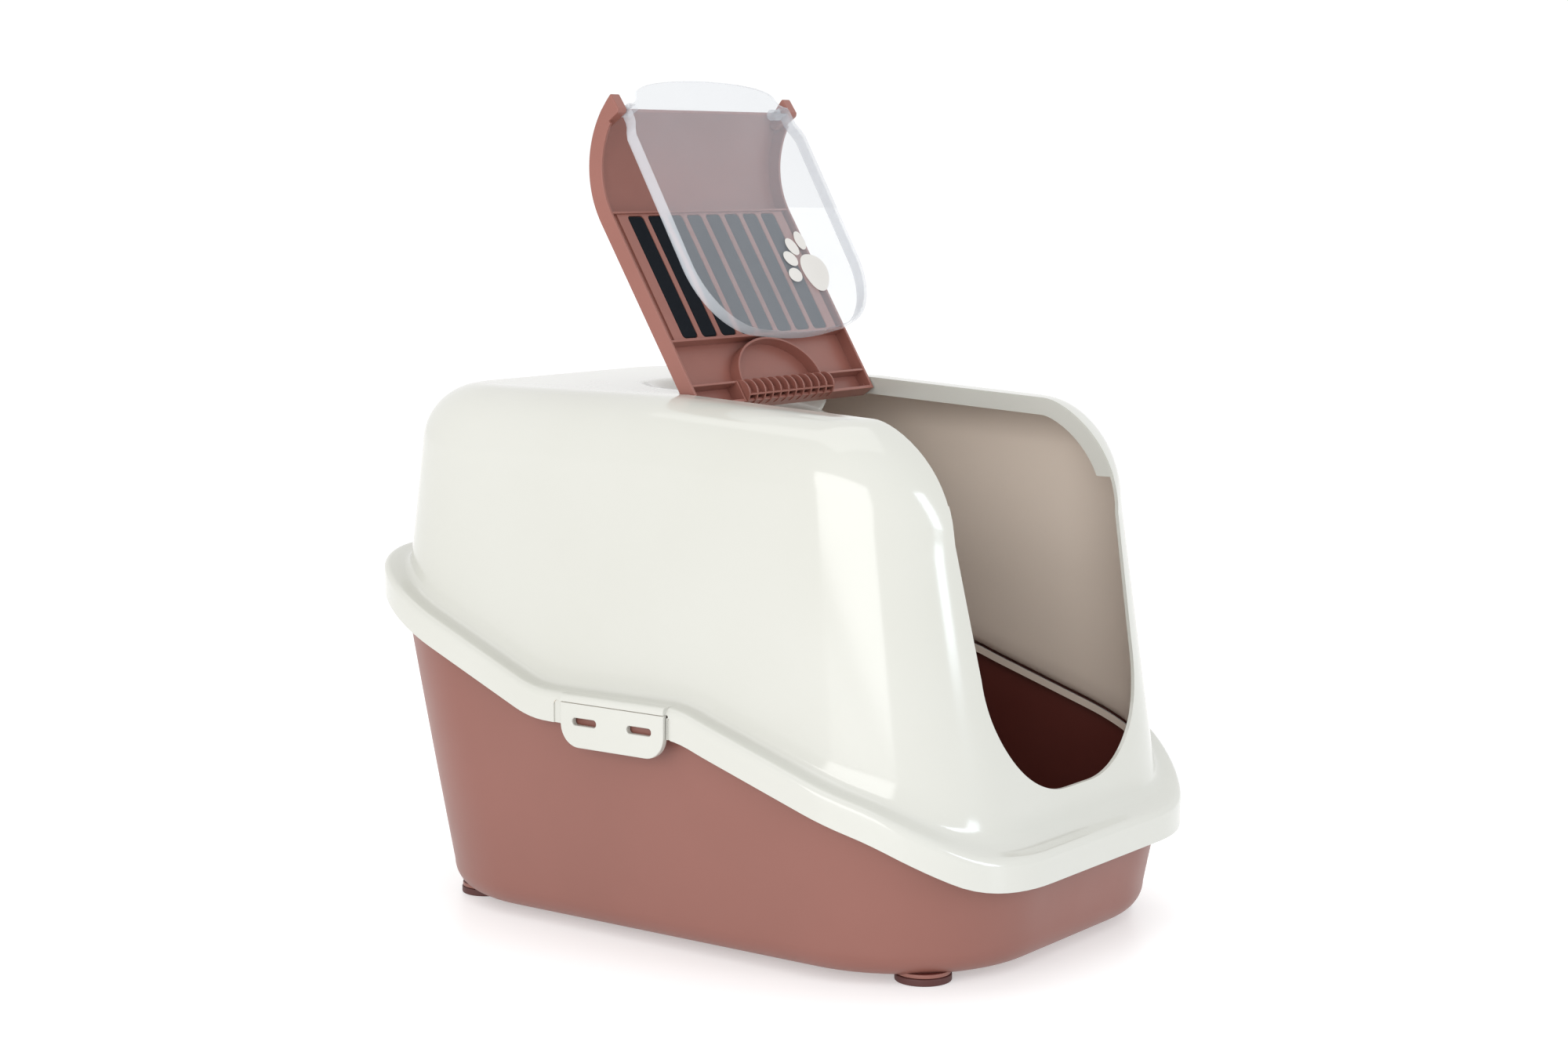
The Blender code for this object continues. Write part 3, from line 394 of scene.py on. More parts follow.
rim = {"length": 0.560, "width": 0.390, "frontRadius": 0.120, "rearRadius": 0.108, "smoothing": 0.012,
       "path": ((-0.285, 0.238), (-0.240, 0.227), (-0.078, 0.1575), (-0.055, 0.1565), (0.055, 0.1565),
                (0.068, 0.151), (0.208, 0.105), (0.240, 0.086), (0.266, 0.068), (0.285, 0.0665))}
roof = {"height": 0.384, "fall": 0.055, "shoulder": 0.045, "brow": 0.080}
dish = {"length": 0.115, "halfWidth": 0.082, "depth": 0.024, "steepness": 4.0,
        "tongue": 0.022, "tongueHalf": 0.060}
cornerSteps = 22
straightSteps = (14, 56, 14, 56)  # front, right, rear, left


def rimHeight(x):
    knotsX, knotsZ = zip(*rim["path"])
    near = np.linspace(x - rim["smoothing"], x + rim["smoothing"], 9)
    return float(np.mean(np.interp(near, knotsX, knotsZ)))


def roofHeight(x):
    return roof["height"] - roof["fall"] * max(0.0, x)


def dishDrop(x, y):
    back = min(1.0, max(0.0, -x / dish["length"]))
    share = math.hypot(back, y / dish["halfWidth"])
    rise = min(1.0, dish["steepness"] * max(0.0, 1.0 - share))
    return dish["depth"] * rise * rise * (3.0 - 2.0 * rise) * (1.0 - back) ** 0.8


def planView(front, rear, half, frontRadius, rearRadius):
    corners = ((front - frontRadius, half - frontRadius, frontRadius, 90.0),
               (front - frontRadius, frontRadius - half, frontRadius, 0.0),
               (rearRadius - rear, rearRadius - half, rearRadius, -90.0),
               (rearRadius - rear, half - rearRadius, rearRadius, -180.0))
    points = []
    for index, (cx, cy, radius, start) in enumerate(corners):
        for step in range(cornerSteps + 1):
            angle = math.radians(start - 90.0 * step / cornerSteps)
            points.append((cx + radius * math.cos(angle), cy + radius * math.sin(angle),
                           math.cos(angle), math.sin(angle)))
        following = corners[(index + 1) % 4]
        end = points[-1]
        angle = math.radians(following[3])
        begin = (following[0] + following[2] * math.cos(angle), following[1] + following[2] * math.sin(angle))
        for step in range(1, straightSteps[index]):
            share = step / straightSteps[index]
            points.append((end[0] + share * (begin[0] - end[0]), end[1] + share * (begin[1] - end[1]),
                           end[2], end[3]))
    return points


hood = {"skirt": 0.022, "ledge": 0.020, "rounding": 0.005, "wall": 0.0026,
        "topFront": 0.2265, "topRear": 0.2500, "topHalf": 0.1685,
        "topRadius": 0.084, "rearEdge": -0.0104, "openingHalf": 0.1095,
        "notch": 0.3205, "entranceHalf": 0.1088, "entranceFoot": 0.1005, "earRoom": 0.302, "sill": 0.119,
        "entranceRadius": 0.085, "flangeDepth": 0.012, "flangeWall": 0.0022,
        "flangeSunk": 0.9965, "lap": 0.0003,
        "bossRadius": 0.0058, "bossInner": 0.1097, "bossOuter": 0.1155, "bossZ": 0.3765,
        "latchHalf": 0.0468, "latchSeat": 0.006, "latchTop": 0.1733}


def hoodLoops():
    half = rim["length"] / 2
    loops = []

    def rimLoop(inset, lift):
        shape = planView(half - inset, half - inset, rim["width"] / 2 - inset,
                         rim["frontRadius"] - inset, rim["rearRadius"] - inset)
        return [(x, y, rimHeight(x) + lift) for x, y, _, _ in shape]

    loops.append(rimLoop(0.0, 0.0))
    for lift in (0.35, 0.7, 1.0):
        loops.append(rimLoop(0.0, lift * (hood["skirt"] - hood["rounding"])))
    for turn in (15.0, 30.0, 45.0, 60.0, 75.0, 90.0):
        angle = math.radians(turn)
        loops.append(rimLoop(hood["rounding"] * (1 - math.cos(angle)),
                             hood["skirt"] - hood["rounding"] * (1 - math.sin(angle))))
    for inset, lift in ((0.5, 0.0002), (0.72, 0.0004), (0.84, 0.0012), (0.93, 0.0028), (1.0, 0.0060)):
        loops.append(rimLoop(hood["ledge"] * inset, hood["skirt"] + lift))
    foot = loops[-1]
    shape = planView(hood["topFront"], hood["topRear"], hood["topHalf"], hood["topRadius"], hood["topRadius"])
    corner = [roof["shoulder"] + (roof["brow"] - roof["shoulder"]) * max(0.0, nx) ** 2 for _, _, nx, _ in shape]
    head = [(x, y, roofHeight(x) - r) for (x, y, _, _), r in zip(shape, corner)]
    for share in np.linspace(0.0, 1.0, 16)[1:-1]:
        loops.append([tuple(np.add(np.multiply(a, 1 - share), np.multiply(b, share)))
                      for a, b in zip(foot, head)])
    for turn in np.linspace(0.0, 90.0, 17):
        angle = math.radians(turn)
        loop = []
        for (x, y, nx, ny), r in zip(shape, corner):
            px = x - nx * r * (1 - math.cos(angle))
            py = y - ny * r * (1 - math.cos(angle))
            loop.append((px, py, roofHeight(px) - r * (1 - math.sin(angle))))
        loops.append(loop)
    edge = loops[-1]
    low = min(p[0] for p in edge) + hood["topHalf"] - roof["shoulder"]
    high = max(p[0] for p in edge) - 0.06
    spine = [(min(max(p[0], low), high), 0.0) for p in edge]
    for share in np.linspace(0.0, 1.0, 36)[1:]:
        loop = []
        for p, s in zip(edge, spine):
            x = p[0] + share * (s[0] - p[0])
            y = p[1] + share * (s[1] - p[1])
            loop.append((x, y, roofHeight(x) - dishDrop(x, y)))
        loops.append(loop)
    return loops


def thickened(name, loops, wall, closed=False):
    obj = pullThrough(name, loops, closed)
    step = obj.modifiers.new("wall", "SOLIDIFY")
    step.thickness = wall
    step.offset = -1.0
    applyAll(obj)
    return obj


def roofOutline():
    rear = hood["rearEdge"]
    tongue = [(rear + (dish["tongue"] - rear) * math.cos(math.radians(a)),
               dish["tongueHalf"] * math.sin(math.radians(a))) for a in range(90, -91, -6)]
    reach, half = rim["length"], hood["openingHalf"]
    return [(reach, half), (rear, half), *tongue, (rear, -half), (reach, -half)]


def makeInnerSkirt():
    half = rim["length"] / 2
    loops = []
    for inset, lift in ((0.0192, 0.0192), (0.0192, 0.0135), (0.0208, 0.0135),
                        (0.0208, 0.0192), (0.0192, 0.0192)):
        shape = planView(half - inset, half - inset, rim["width"] / 2 - inset,
                         rim["frontRadius"] - inset, rim["rearRadius"] - inset)
        loops.append([(x, y, rimHeight(x) + lift) for x, y, _, _ in shape])
    skirt = pullThrough("innerSkirt", loops)
    cleanMesh(skirt)
    return skirt


def makeHood():
    loops = hoodLoops()
    shell = thickened("hoodShell", loops, hood["wall"])
    tall = roof["height"]
    booleanWith(shell, plate("roofCut", roofOutline(), hood["notch"], hood["notch"] + tall), "DIFFERENCE")
    top = hood["notch"] + 0.01
    middle = hood["sill"] + hood["entranceRadius"]
    flank = hood["entranceFoot"] - hood["entranceRadius"]
    outline = [(hood["entranceHalf"], hood["earRoom"]), (hood["entranceHalf"], top),
               (-hood["entranceHalf"], top), (-hood["entranceHalf"], hood["earRoom"])]
    outline += arc((-flank, middle), hood["entranceRadius"], 180.0, 270.0, 28)
    outline += arc((flank, middle), hood["entranceRadius"], 270.0, 360.0, 28)
    booleanWith(shell, plate("entranceCut", outline, -0.15, 0.15, alongX(0.33)), "DIFFERENCE")
    share = hood["flangeSunk"]  # the flange starts a little under the skin, so the two never coincide
    sunk = [[(x * share, y * share, 0.15 + (z - 0.15) * share) for x, y, z in loop] for loop in loops]
    deep = thickened("flangeDepth", sunk, hood["flangeDepth"])
    for side in (1, -1):
        ends = sorted((side * (hood["openingHalf"] - hood["lap"]),
                       side * (hood["openingHalf"] + hood["flangeWall"])))
        strip = block("openingFlange", (hood["rearEdge"] - 0.0043, ends[0], hood["notch"]),
                      (rim["length"], ends[1], tall + 0.05))
        booleanWith(strip, deep, "INTERSECT", keep=True)
        booleanWith(shell, strip, "UNION")
        boss = pin("hingeBoss", hood["bossRadius"], (0.0, side * hood["bossInner"], hood["bossZ"]),
                   (0.0, side * hood["bossOuter"], hood["bossZ"]))
        booleanWith(shell, boss, "UNION")
        edge = rim["width"] / 2
        ends = sorted((side * (edge - hood["latchSeat"]), side * (edge + hood["latchSeat"])))
        gap = block("latchGap", (-hood["latchHalf"], ends[0], 0.10),
                    (hood["latchHalf"], ends[1], hood["latchTop"]))
        booleanWith(shell, gap, "DIFFERENCE")
        for low, high in ((-0.0545, -0.0485), (0.0476, 0.0500)):  # shallow bands beside the latch
            band = [(high, 0.10), (low, 0.10), (low, 0.170)]
            band += arc(((low + high) / 2, 0.170), (high - low) / 2, 180.0, 0.0, 10) + [(high, 0.170)]
            face = side * (edge - 0.0009)
            groove = plate("groove", band, -0.01, 0.01, alongY(face + side * 0.01))
            booleanWith(shell, groove, "DIFFERENCE")
        tip = pin("slitEnd", 0.0011, (0.0470, side * 0.19, 0.1722), (0.0470, side * 0.20, 0.1722), sides=20)
        booleanWith(shell, tip, "DIFFERENCE")
    bpy.data.objects.remove(deep)
    extras = [shell, makeInnerSkirt()]
    for side in (1, -1):  # the ledge carried out over each latch
        brow = [(0.186, 0.17325), (0.198, 0.17325), (0.198, 0.1755)] + arc((0.195, 0.1755), 0.003, 0.0, 90.0, 8)
        brow += [(0.186, 0.1785)]
        extras.append(plate("latchBrow", [(side * y, z) for y, z in brow], -0.0462, 0.0462, alongX(0.0)))
    shell = joinPieces("hoodShell", extras)
    finishPiece(shell, "hood", whitePlastic, "white_gloss_plastic", "hood", angle=32.0, flatten=False)

    # the hood's inward faces, away from the opening, get the painted warm bounce light
    def warmBounceFaces(centre, normal):
        byOpening = abs(centre.y) < 0.1125 and (centre.z > 0.31 or centre.x > 0.19)
        return facesIn(centre, normal, 0.0) and not byOpening

    paintWhere(shell, warmBouncePlastic, warmBounceFaces)
    print("hood made:", len(shell.data.polygons), "faces")


makeHood()


tray = {"front": 0.259, "rear": 0.236, "half": 0.172, "radius": 0.112, "edgeRadius": 0.020, "topGap": 0.0125,
        "lip": 0.0055, "wall": 0.003, "bottom": 0.0056, "rimPlay": 0.0015,
        "footX": (0.209, -0.186), "footY": 0.122, "footRadius": 0.0195, "footHeight": 0.005,
        "catchHalf": 0.040, "catchZ": 0.160, "catchRoot": 0.180, "catchTip": 0.1927}


def trayLoops():
    half = rim["length"] / 2
    topFront = half - tray["topGap"]
    rimLift = hood["skirt"] - hood["wall"] - tray["rimPlay"]
    radius = tray["edgeRadius"]

    def footPlan(inset):
        return planView(tray["front"] - inset, tray["rear"] - inset, tray["half"] - inset,
                        tray["radius"] - inset, tray["radius"] - inset)

    head = planView(topFront, topFront, rim["width"] / 2 - tray["topGap"],
                    rim["frontRadius"] - tray["topGap"], rim["rearRadius"] - tray["topGap"])
    loops = []
    for share in (0.02, 0.5, 0.85, 1.0):
        loops.append([(x * share, y * share, tray["bottom"]) for x, y, _, _ in footPlan(radius)])
    for turn in np.linspace(0.0, 90.0, 13)[1:]:
        angle = math.radians(turn)
        lift = radius * (1 - math.cos(angle))
        loops.append([(x, y, tray["bottom"] + lift) for x, y, _, _ in footPlan(radius * (1 - math.sin(angle)))])
    start = tray["bottom"] + radius
    foot = footPlan(0.0)
    for level in np.linspace(0.0, 1.0, 13)[1:]:
        drop = tray["wall"] if level == 1.0 else 0.0
        loop = []
        for a, b in zip(foot, head):
            x, y = a[0] + level * (b[0] - a[0]), a[1] + level * (b[1] - a[1])
            loop.append((x, y, start + level * (rimHeight(x) + rimLift - start) - drop))
        loops.append(loop)
    lip = planView(topFront + tray["lip"], topFront + tray["lip"],
                   rim["width"] / 2 - tray["topGap"] + tray["lip"],
                   rim["frontRadius"] - tray["topGap"] + tray["lip"],
                   rim["rearRadius"] - tray["topGap"] + tray["lip"])
    loops.append([(x, y, rimHeight(x) + rimLift - tray["wall"]) for x, y, _, _ in lip])
    return loops


def makeTray():
    loops = trayLoops()
    shell = thickened("trayShell", loops[::-1], tray["wall"], closed=True)
    extras = []
    for side in (1, -1):
        ends = sorted((side * tray["catchRoot"], side * tray["catchTip"]))
        extras.append(block("catch", (-tray["catchHalf"], ends[0], tray["catchZ"] - 0.006),
                            (tray["catchHalf"], ends[1], tray["catchZ"] + 0.006), edge=0.0008))
        for x in tray["footX"]:
            y = side * tray["footY"]
            extras.append(pin("footBoss", tray["footRadius"] - 0.0006, (x, y, tray["bottom"] - 0.0003),
                              (x, y, tray["bottom"] + 0.0024), 0.0003, 48))
    roundEdges(shell, 0.0006, 2, 55.0)
    shell = joinPieces("trayShell", [shell] + extras)
    finishPiece(shell, "base", terracotta, "terracotta_plastic", "base_tray", flatten=False)
    # the tray's inward faces get the painted shade
    paintWhere(shell, trayPaintedShade, lambda centre, normal: facesIn(centre, normal, 0.15))
    number = 0
    for x in tray["footX"]:
        for side in (1, -1):
            number += 1
            y = side * tray["footY"]
            foot = pin(f"footDisc{number}", tray["footRadius"], (x, y, 0.0), (x, y, tray["footHeight"]),
                       0.0009, 64)
            finishPiece(foot, "base", footRubber, "foot_rubber", f"foot_{number}")
    print("tray made:", len(shell.data.polygons), "faces")


makeTray()


latch = {"half": 0.046, "top": 0.1731, "bottom": 0.1415, "corner": 0.016, "inner": 0.193, "outer": 0.198,
         "slotX": 0.0245, "slotZ": 0.160, "slotLength": 0.0215, "slotWidth": 0.0052, "slotCorner": 0.0025,
         "edge": 0.0009, "reliefFrom": 0.1957, "flexDeg": 12.0, "reliefTo": 0.21}


def makeLatches():
    half, corner = latch["half"], latch["corner"]
    outline = [(half, latch["top"] + 0.003), (-half, latch["top"] + 0.003)]
    outline += arc((-half + corner, latch["bottom"] + corner), corner, 180.0, 270.0, 12)
    outline += arc((half - corner, latch["bottom"] + corner), corner, 270.0, 360.0, 12)
    for side, name in ((1, "Left"), (-1, "Right")):
        far, near = -side * latch["outer"], -side * latch["inner"]
        tab = plate(f"latchTab{name}", outline, min(near, far), max(near, far), alongY(0.0))
        for x in (-latch["slotX"], latch["slotX"]):
            mouth = roundedRectangle((x, latch["slotZ"]), latch["slotLength"], latch["slotWidth"],
                                     latch["slotCorner"])
            slot = plate("slot", mouth, -side * latch["outer"] - 0.01, -side * latch["inner"] + 0.01,
                         alongY(0.0))
            booleanWith(tab, slot, "DIFFERENCE")
        roundEdges(tab, latch["edge"], 3, 50.0)
        fall = (latch["reliefTo"] - latch["reliefFrom"]) * math.tan(math.radians(latch["flexDeg"] + 1.0))
        # the cut slopes down outside the hinge line, so the tab has room to flex
        above = [(0.15, latch["top"]), (latch["reliefFrom"], latch["top"]),
                 (latch["reliefTo"], latch["top"] - fall), (latch["reliefTo"], latch["top"] + 0.02),
                 (0.15, latch["top"] + 0.02)]
        spare = plate("spare", [(side * y, z) for y, z in above], -0.06, 0.06, alongX(0.0))
        booleanWith(tab, spare, "DIFFERENCE")
        finishPiece(tab, f"latch_{name.lower()}", whitePlastic, "white_gloss_plastic", f"latch_{name.lower()}")
    print("latches made")


makeLatches()


hatch = {"half": 0.1075, "depth": 0.012, "wall": 0.0024, "openDeg": 124.0, "gap": 0.0025, "inset": 0.005,
         "frontInset": 0.003, "end": 0.326, "earTip": 0.3138, "earWidth": 0.010, "pivot": (0.212, 0.322),
         "gripRib": 0.017, "filterStart": 0.053, "filterEnd": 0.158, "rib": 0.0018, "filterHalf": 0.0985,
         "grilleDepth": 0.0076, "slots": 8, "slotPitch": 0.0227, "slotWidth": 0.0174, "slotCorner": 0.003,
         "cavityHalf": 0.049, "cavityLength": 0.034, "edge": 0.0005}
hingeZ = roof["height"] - hatch["gap"] - hatch["inset"]
openTurn = (Matrix.Translation((0, 0, hingeZ)) @ Matrix.Rotation(-math.radians(hatch["openDeg"]), 4, "Y")
            @ Matrix.Translation((0, 0, -hingeZ)))


def hatchTop(x):
    return roof["height"] - hatch["gap"] - roof["fall"] * x


def hatchLine(inset, frontEnd, steps=28):
    radius = roof["brow"] - hatch["gap"]
    cx = hood["topFront"] - hatch["frontInset"] - radius
    cz = roofHeight(cx) - hatch["gap"] - radius
    level = 90.0 - math.degrees(math.atan(roof["fall"]))
    end = math.degrees(math.asin((frontEnd - cz) / (radius - inset)))
    start = (-hatch["inset"], hatchTop(-hatch["inset"]) - inset)
    return [start] + arc((cx, cz), radius - inset, level, end, steps)


flat = (openTurn @ Matrix.Translation((-hatch["inset"], 0.0, hatchTop(-hatch["inset"])))
        @ Matrix.Rotation(math.atan(roof["fall"]), 4, "Y"))  # u along the hatch, v across, w out of its skin


def slotRow(start, end, width, corner):
    rows = [(i - (hatch["slots"] - 1) / 2) * hatch["slotPitch"] for i in range(hatch["slots"])]
    return [roundedRectangle(((start + end) / 2, v), end - start, width, corner) for v in rows]


def makeHatch():
    half, depth, wall, edge = hatch["half"], hatch["depth"], hatch["wall"], hatch["edge"]
    skin = hatchLine(0.0, hatch["end"])
    under = hatchLine(depth, hatch["end"])
    shell = plate("hatchShell", skin + under[::-1], -half, half, openTurn @ alongY(0.0))
    inner = hatchLine(wall, hatch["end"] - 0.01)
    below = hatchLine(depth + 0.02, hatch["end"] - 0.01)
    inner[0] = (inner[0][0] + wall, inner[0][1])
    below[0] = (below[0][0] + wall, below[0][1])
    hollow = plate("hollow", inner + below[::-1], wall - half, half - wall, openTurn @ alongY(0.0))
    booleanWith(shell, hollow, "DIFFERENCE")
    window = block("window", (hatch["filterStart"] + hatch["rib"], -hatch["filterHalf"], -hatch["grilleDepth"]),
                   (hatch["filterEnd"] - hatch["rib"], hatch["filterHalf"], 0.01), flat)
    booleanWith(shell, window, "DIFFERENCE")
    roundEdges(shell, edge, 2, 50.0)
    parts = [shell]
    for place in (hatch["gripRib"], hatch["filterStart"], hatch["filterEnd"]):
        parts.append(block("rib", (place - hatch["rib"] / 2, 0.001 - half, 0.0006 - depth),
                           (place + hatch["rib"] / 2, half - 0.001, -0.001), flat, 0.0004))
    for side in (1, -1):
        ends = sorted((side * hatch["filterHalf"], side * (hatch["filterHalf"] + hatch["rib"])))
        parts.append(block("filterSide", (hatch["filterStart"], ends[0], -hatch["grilleDepth"] - 0.001),
                           (hatch["filterEnd"], ends[1], -0.001), flat, 0.0003))
    parts.append(makeGrille())
    parts.append(makeCavity())
    parts += makeGrip()
    parts += makeEars()
    shell = joinPieces("hatchShell", parts)
    finishPiece(shell, "hatch", hatchTerracotta, "terracotta_plastic", "hatch_frame")
    print("hatch made:", len(shell.data.polygons), "faces")


def makeGrille():
    edge = hatch["filterHalf"] + hatch["rib"] / 2
    start, end = hatch["filterStart"], hatch["filterEnd"]
    low = -hatch["grilleDepth"] - hatch["wall"]
    grille = plate("grille", [(start, -edge), (end, -edge), (end, edge), (start, edge)],
                   low, low + hatch["wall"])
    for outline in slotRow(start + hatch["rib"] + 0.0004, end - hatch["rib"] - 0.0004, hatch["slotWidth"],
                           hatch["slotCorner"]):
        booleanWith(grille, plate("slot", outline, low - 0.01, low + 0.02), "DIFFERENCE")
    roundEdges(grille, 0.0006, 2, 50.0)
    grille.data.transform(flat)
    return grille


def makeCavity():
    def arch(shrink):
        return [(hatch["gripRib"] + (hatch["cavityLength"] - shrink) * math.sin(math.radians(a)),
                 0.003 + (hatch["cavityHalf"] - shrink) * math.cos(math.radians(a))) for a in range(0, 181, 5)]

    return plate("cavityWall", arch(0.0) + arch(hatch["rib"])[::-1], 0.001 - hatch["depth"], -0.001,
                 flat, 0.0004)


grip = {"half": 0.052, "radius": 0.0095, "core": 0.0046, "u": 0.0092, "depth": 0.0085,
        "ribs": 11, "ribWidth": 0.0015}


def makeGrip():
    axis = lambda y: flat @ Vector((grip["u"], y, -grip["depth"]))
    parts = [pin("gripCore", grip["core"], axis(-grip["half"]), axis(grip["half"]), 0.0004)]
    pitch = 2 * grip["half"] / grip["ribs"]
    for i in range(grip["ribs"] + 1):
        y = -grip["half"] + i * pitch
        parts.append(pin("gripRib", grip["radius"], axis(y - grip["ribWidth"] / 2),
                         axis(y + grip["ribWidth"] / 2), 0.0003, 40))
    for turn in (35.0, 150.0):  # the long ribs that the curved ones cross
        tilt = (flat @ Matrix.Translation((grip["u"], 0.0, -grip["depth"]))
                @ Matrix.Rotation(math.radians(turn), 4, "Y"))
        parts.append(block("longRib", (-0.0007, -grip["half"], -grip["radius"]), (0.0007, grip["half"], 0.0),
                           tilt, 0.0003))
    end = -grip["half"] - 0.0012
    parts.append(block("gripEnd", (0.0005, end - 0.0018, -0.0125), (hatch["gripRib"], end, -0.001),
                       flat, 0.0005))
    return parts


def makeEars():
    outer = [p for p in hatchLine(0.0, hatch["earTip"], 40) if p[1] < hatch["end"] + 0.012]
    px, pz = hatch["pivot"]
    tip = hatch["earTip"]
    outline = outer + [(px - 0.0035, tip), (px - 0.0055, tip + 0.002), (px - 0.0060, hatch["end"] + 0.008)]
    parts = []
    for side in (1, -1):
        ends = sorted((-side * (hatch["half"] + 0.00015), -side * (hatch["half"] - hatch["earWidth"])))
        parts.append(plate("ear", outline, ends[0], ends[1], openTurn @ alongY(0.0), 0.0010, 3))
        dot = pin("pinEnd", 0.0024, (px, side * (hatch["half"] - 0.001), pz),
                  (px, side * hatch["half"], pz), 0.0003)
        dot.data.transform(openTurn)
        parts.append(dot)
    return parts


def makeFilter():
    play = 0.0008
    low = hatch["filterStart"] + hatch["rib"] + play
    high = hatch["filterEnd"] - hatch["rib"] - play
    half = hatch["filterHalf"] - play
    pad = block("filterPad", (low, -half, 0.0003 - hatch["grilleDepth"]), (high, half, -hatch["wall"] - 0.0006),
                edge=0.001)
    pad.data.transform(flat)
    strips = []
    outer = -hatch["grilleDepth"] - hatch["wall"]
    for outline in slotRow(low + 0.0002, high - 0.0002, hatch["slotWidth"] - 0.0008, hatch["slotCorner"]):
        strips.append(plate("strip", outline, outer + 0.0003, 0.001 - hatch["grilleDepth"], flat, 0.0005))
    pad = joinPieces("filterPad", [pad] + strips)
    finishPiece(pad, "hatch", carbonFelt, "carbon_felt", "filter_pad")
    cover = plate("filterCover", [(low, -half), (high, -half), (high, half), (low, half)], -hatch["wall"], 0.0)
    for outline in slotRow(low + 0.012, high - 0.012, hatch["slotWidth"] / 2, hatch["slotCorner"]):
        booleanWith(cover, plate("slot", outline, -0.02, 0.02), "DIFFERENCE")
    roundEdges(cover, 0.0005, 2, 50.0)
    cover.data.transform(flat)
    finishPiece(cover, "hatch", hatchTerracotta, "terracotta_plastic", "filter_cover")


makeHatch()
makeFilter()
for kind, surface in (("hatch", hatchTerracotta), ("flap", clearShell)):
    for end in ("left", "right"):
        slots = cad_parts[f"{kind}_pin_{end}"].data.materials
        slots.clear()
        slots.append(surface)


flap = {"half": 0.102, "length": 0.187, "wall": 0.0016, "rim": 0.0095, "out": 0.0105, "neck": 0.0958,
        "corner": 0.056, "crestHalf": 0.083, "crest": 0.021, "leanDeg": 28.8, "edge": 0.0005}
pivot = openTurn @ Vector((hatch["pivot"][0], 0.0, hatch["pivot"][1]))
hang = Matrix.Translation(pivot) @ Matrix.Rotation(-math.radians(flap["leanDeg"]), 4, "Y")


def flapOutline(inset, top):
    half, neck, corner = flap["half"] - inset, flap["neck"] - inset, flap["corner"] - inset
    low = -flap["length"] + 0.004 + inset
    right = [(neck, top), (neck, -0.010), (neck + 0.0010, -0.0140), (neck + 0.0038, -0.0185), (half, -0.024)]
    right += arc((half - corner, low + corner), corner, 0.0, -80.0, 20)
    bow = [(x, -flap["length"] + inset + 0.004 * (x / 0.046) ** 2) for x in (0.030, 0.015, 0.0, -0.015, -0.030)]
    return right + bow + [(-u, v) for u, v in reversed(right)]


def makeFlap():
    out, deep = flap["out"], flap["rim"]
    shell = plate("flapShell", flapOutline(0.0, -0.003), out - deep, out, alongX(0.0))
    pocket = plate("pocket", flapOutline(flap["wall"], 0.010), out - deep - 0.004, out - flap["wall"],
                   alongX(0.0))
    booleanWith(shell, pocket, "DIFFERENCE")
    crest = [(flap["crestHalf"] * math.cos(math.radians(a)), 0.0065 + 0.0145 * math.sin(math.radians(a)) ** 0.8)
             for a in range(0, 181, 5)]
    crest += [(-flap["crestHalf"] - 0.003, 0.003), (-flap["neck"], -0.001), (-flap["neck"], -0.006),
              (flap["neck"], -0.006), (flap["neck"], -0.001), (flap["crestHalf"] + 0.003, 0.003)]
    booleanWith(shell, plate("crest", crest, out - flap["wall"] + 0.0001, out - 0.0001, alongX(0.0)), "UNION")
    for side in (1, -1):
        near, far = side * (flap["neck"] - 0.010), side * flap["neck"]
        booleanWith(shell, pin("knuckle", 0.0042, (0, near, 0), (0, far, 0)), "UNION")
        ends = sorted((near, far))
        booleanWith(shell, block("web", (0.0, ends[0], -0.0036), (out - 0.0006, ends[1], 0.0010)), "UNION")
    roundEdges(shell, flap["edge"], 2, 50.0)
    shell.data.transform(hang)
    finishPiece(shell, "flap", clearShell, "clear_plastic", "swing_flap")
    outward = hang.to_3x3() @ Vector((1.0, 0.0, 0.0))
    # the flap's edge walls get the painted highlight
    paintWhere(shell, clearEdgeHighlight, lambda centre, normal: abs(normal.dot(outward)) < 0.9)
    print("flap made:", len(shell.data.polygons), "faces")


makeFlap()


paw = {"side": 0.038, "down": 0.139, "turnDeg": 50.0, "thickness": 0.0004, "lift": 0.0003,
       "padHalf": (0.0152, 0.0152), "padWave": 0.06, "reach": 0.0262, "bearings": (44.0, 14.0, -14.0, -44.0),
       "toeHalf": (0.0057, 0.0077)}


def makePaw():
    place = (hang @ alongX(flap["out"] + paw["lift"]) @ Matrix.Translation((paw["side"], -paw["down"], 0.0))
             @ Matrix.Rotation(math.radians(paw["turnDeg"]), 4, "Z"))
    pad = []
    for angle in np.radians(np.arange(0.0, 360.0, 4.0)):
        wave = 1.0 + paw["padWave"] * math.cos(3 * angle + math.pi / 2)
        pad.append((paw["padHalf"][0] * wave * math.cos(angle), paw["padHalf"][1] * wave * math.sin(angle)))
    shapes = {"pawPad": ("paw_print_pad", pad, place)}
    toe = [(paw["toeHalf"][0] * math.cos(a), paw["reach"] + paw["toeHalf"][1] * math.sin(a))
           for a in np.radians(np.arange(0.0, 360.0, 6.0))]
    for number, bearing in enumerate(paw["bearings"], 1):
        turned = place @ Matrix.Rotation(math.radians(bearing), 4, "Z")
        shapes[f"pawToe{number}"] = (f"paw_print_toe_{number}", toe, turned)
    for name, (node, outline, where) in shapes.items():
        film = plate(name, outline, 0.0, paw["thickness"], where, 0.0001, 1)
        finishPiece(film, "flap", printFilm, "print_film", node)
    print("paw print made")


makePaw()


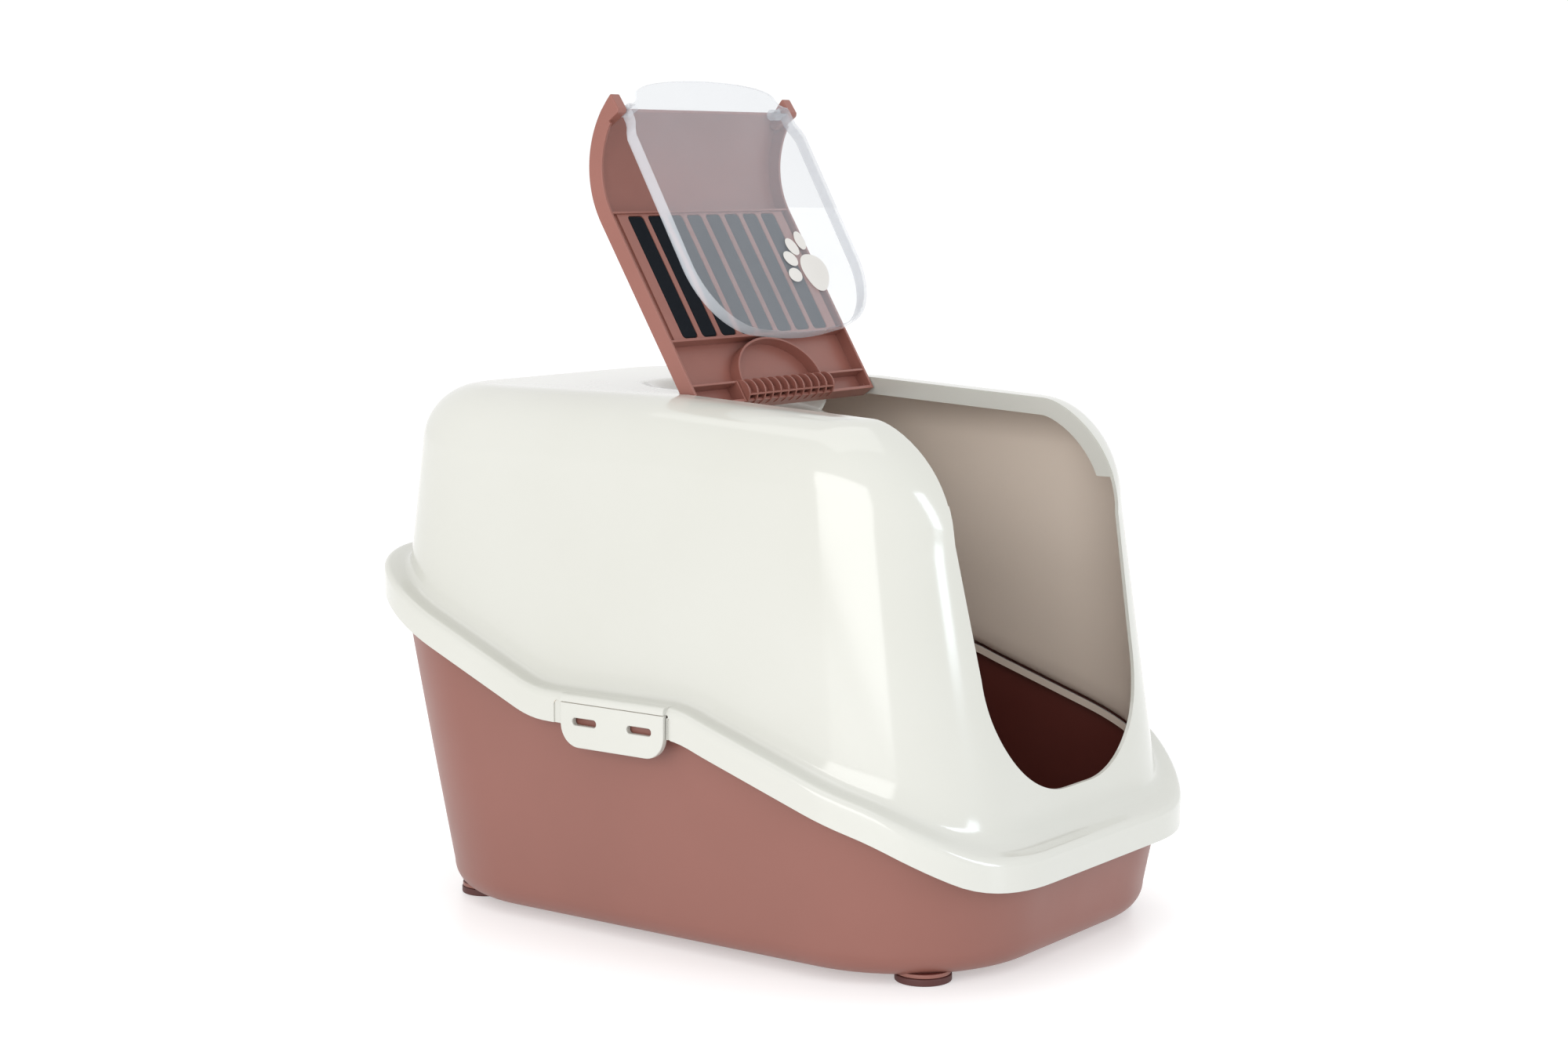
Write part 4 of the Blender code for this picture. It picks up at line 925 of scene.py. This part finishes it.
studio = {"cameraAt": (1.2263, -1.6572, 0.5424), "target": (0.0013, 0.0013, 0.2821), "lens": 64.45,
          "world": (1.0, 1.0, 1.0), "worldStrength": 1.04, "floor": 60.0, "paper": 0.70, "paperGlow": 0.38}


def makeFloor():
    dropSelection()
    bpy.ops.mesh.primitive_plane_add(size=studio["floor"])
    floor = bpy.context.object
    floor.name = "studioFloor"
    made, nodes, links = newMaterial("palePaper")
    shader = nodes["Principled BSDF"]
    shader.inputs["Base Color"].default_value = (studio["paper"], studio["paper"], studio["paper"], 1.0)
    shader.inputs["Emission Color"].default_value = (1.0, 1.0, 1.0, 1.0)
    shader.inputs["Emission Strength"].default_value = studio["paperGlow"]
    shader.inputs["Roughness"].default_value = 0.4
    shader.inputs["Specular IOR Level"].default_value = 0.2
    floor.data.materials.append(made)


def makeLight(name, at, aim, size, power, colour=(1.0, 1.0, 1.0)):
    data = bpy.data.lights.new(name, "AREA")
    data.shape = "RECTANGLE"
    data.size, data.size_y = size
    data.energy = power
    data.color = colour
    lamp = bpy.data.objects.new(name, data)
    bpy.context.scene.collection.objects.link(lamp)
    lamp.location = at
    lamp.rotation_euler = (Vector(aim) - Vector(at)).to_track_quat("-Z", "Y").to_euler()
    return lamp


def makeStudio():
    makeFloor()
    world = bpy.data.worlds.new("paleStudio")
    bpy.context.scene.world = world
    world.use_nodes = True
    sky = world.node_tree.nodes["Background"]
    sky.inputs["Color"].default_value = (*studio["world"], 1.0)
    sky.inputs["Strength"].default_value = studio["worldStrength"]
    makeLight("tallWindow", (0.55, -3.1, 0.98), (0.1, -0.15, 0.28), (3.4, 1.75), 48.0)
    makeLight("sideWindow", (3.1, 0.35, 1.2), (0.2, -0.1, 0.25), (0.5, 1.6), 16.0, (0.80, 0.90, 1.0))
    makeLight("overhead", (-0.3, 0.2, 3.2), (0.0, 0.0, 0.0), (2.6, 2.6), 14.0)
    data = bpy.data.cameras.new("camera")
    camera = bpy.data.objects.new("camera", data)
    bpy.context.scene.collection.objects.link(camera)
    camera.location = studio["cameraAt"]
    camera.rotation_euler = (Vector(studio["target"]) - camera.location).to_track_quat("-Z", "Y").to_euler()
    data.lens = studio["lens"]
    data.sensor_width = 36.0
    bpy.context.scene.camera = camera
    bpy.context.scene.view_settings.view_transform = "Standard"


makeStudio()
print("studio ready")

for obj in bpy.context.selected_objects:
    obj.select_set(False)
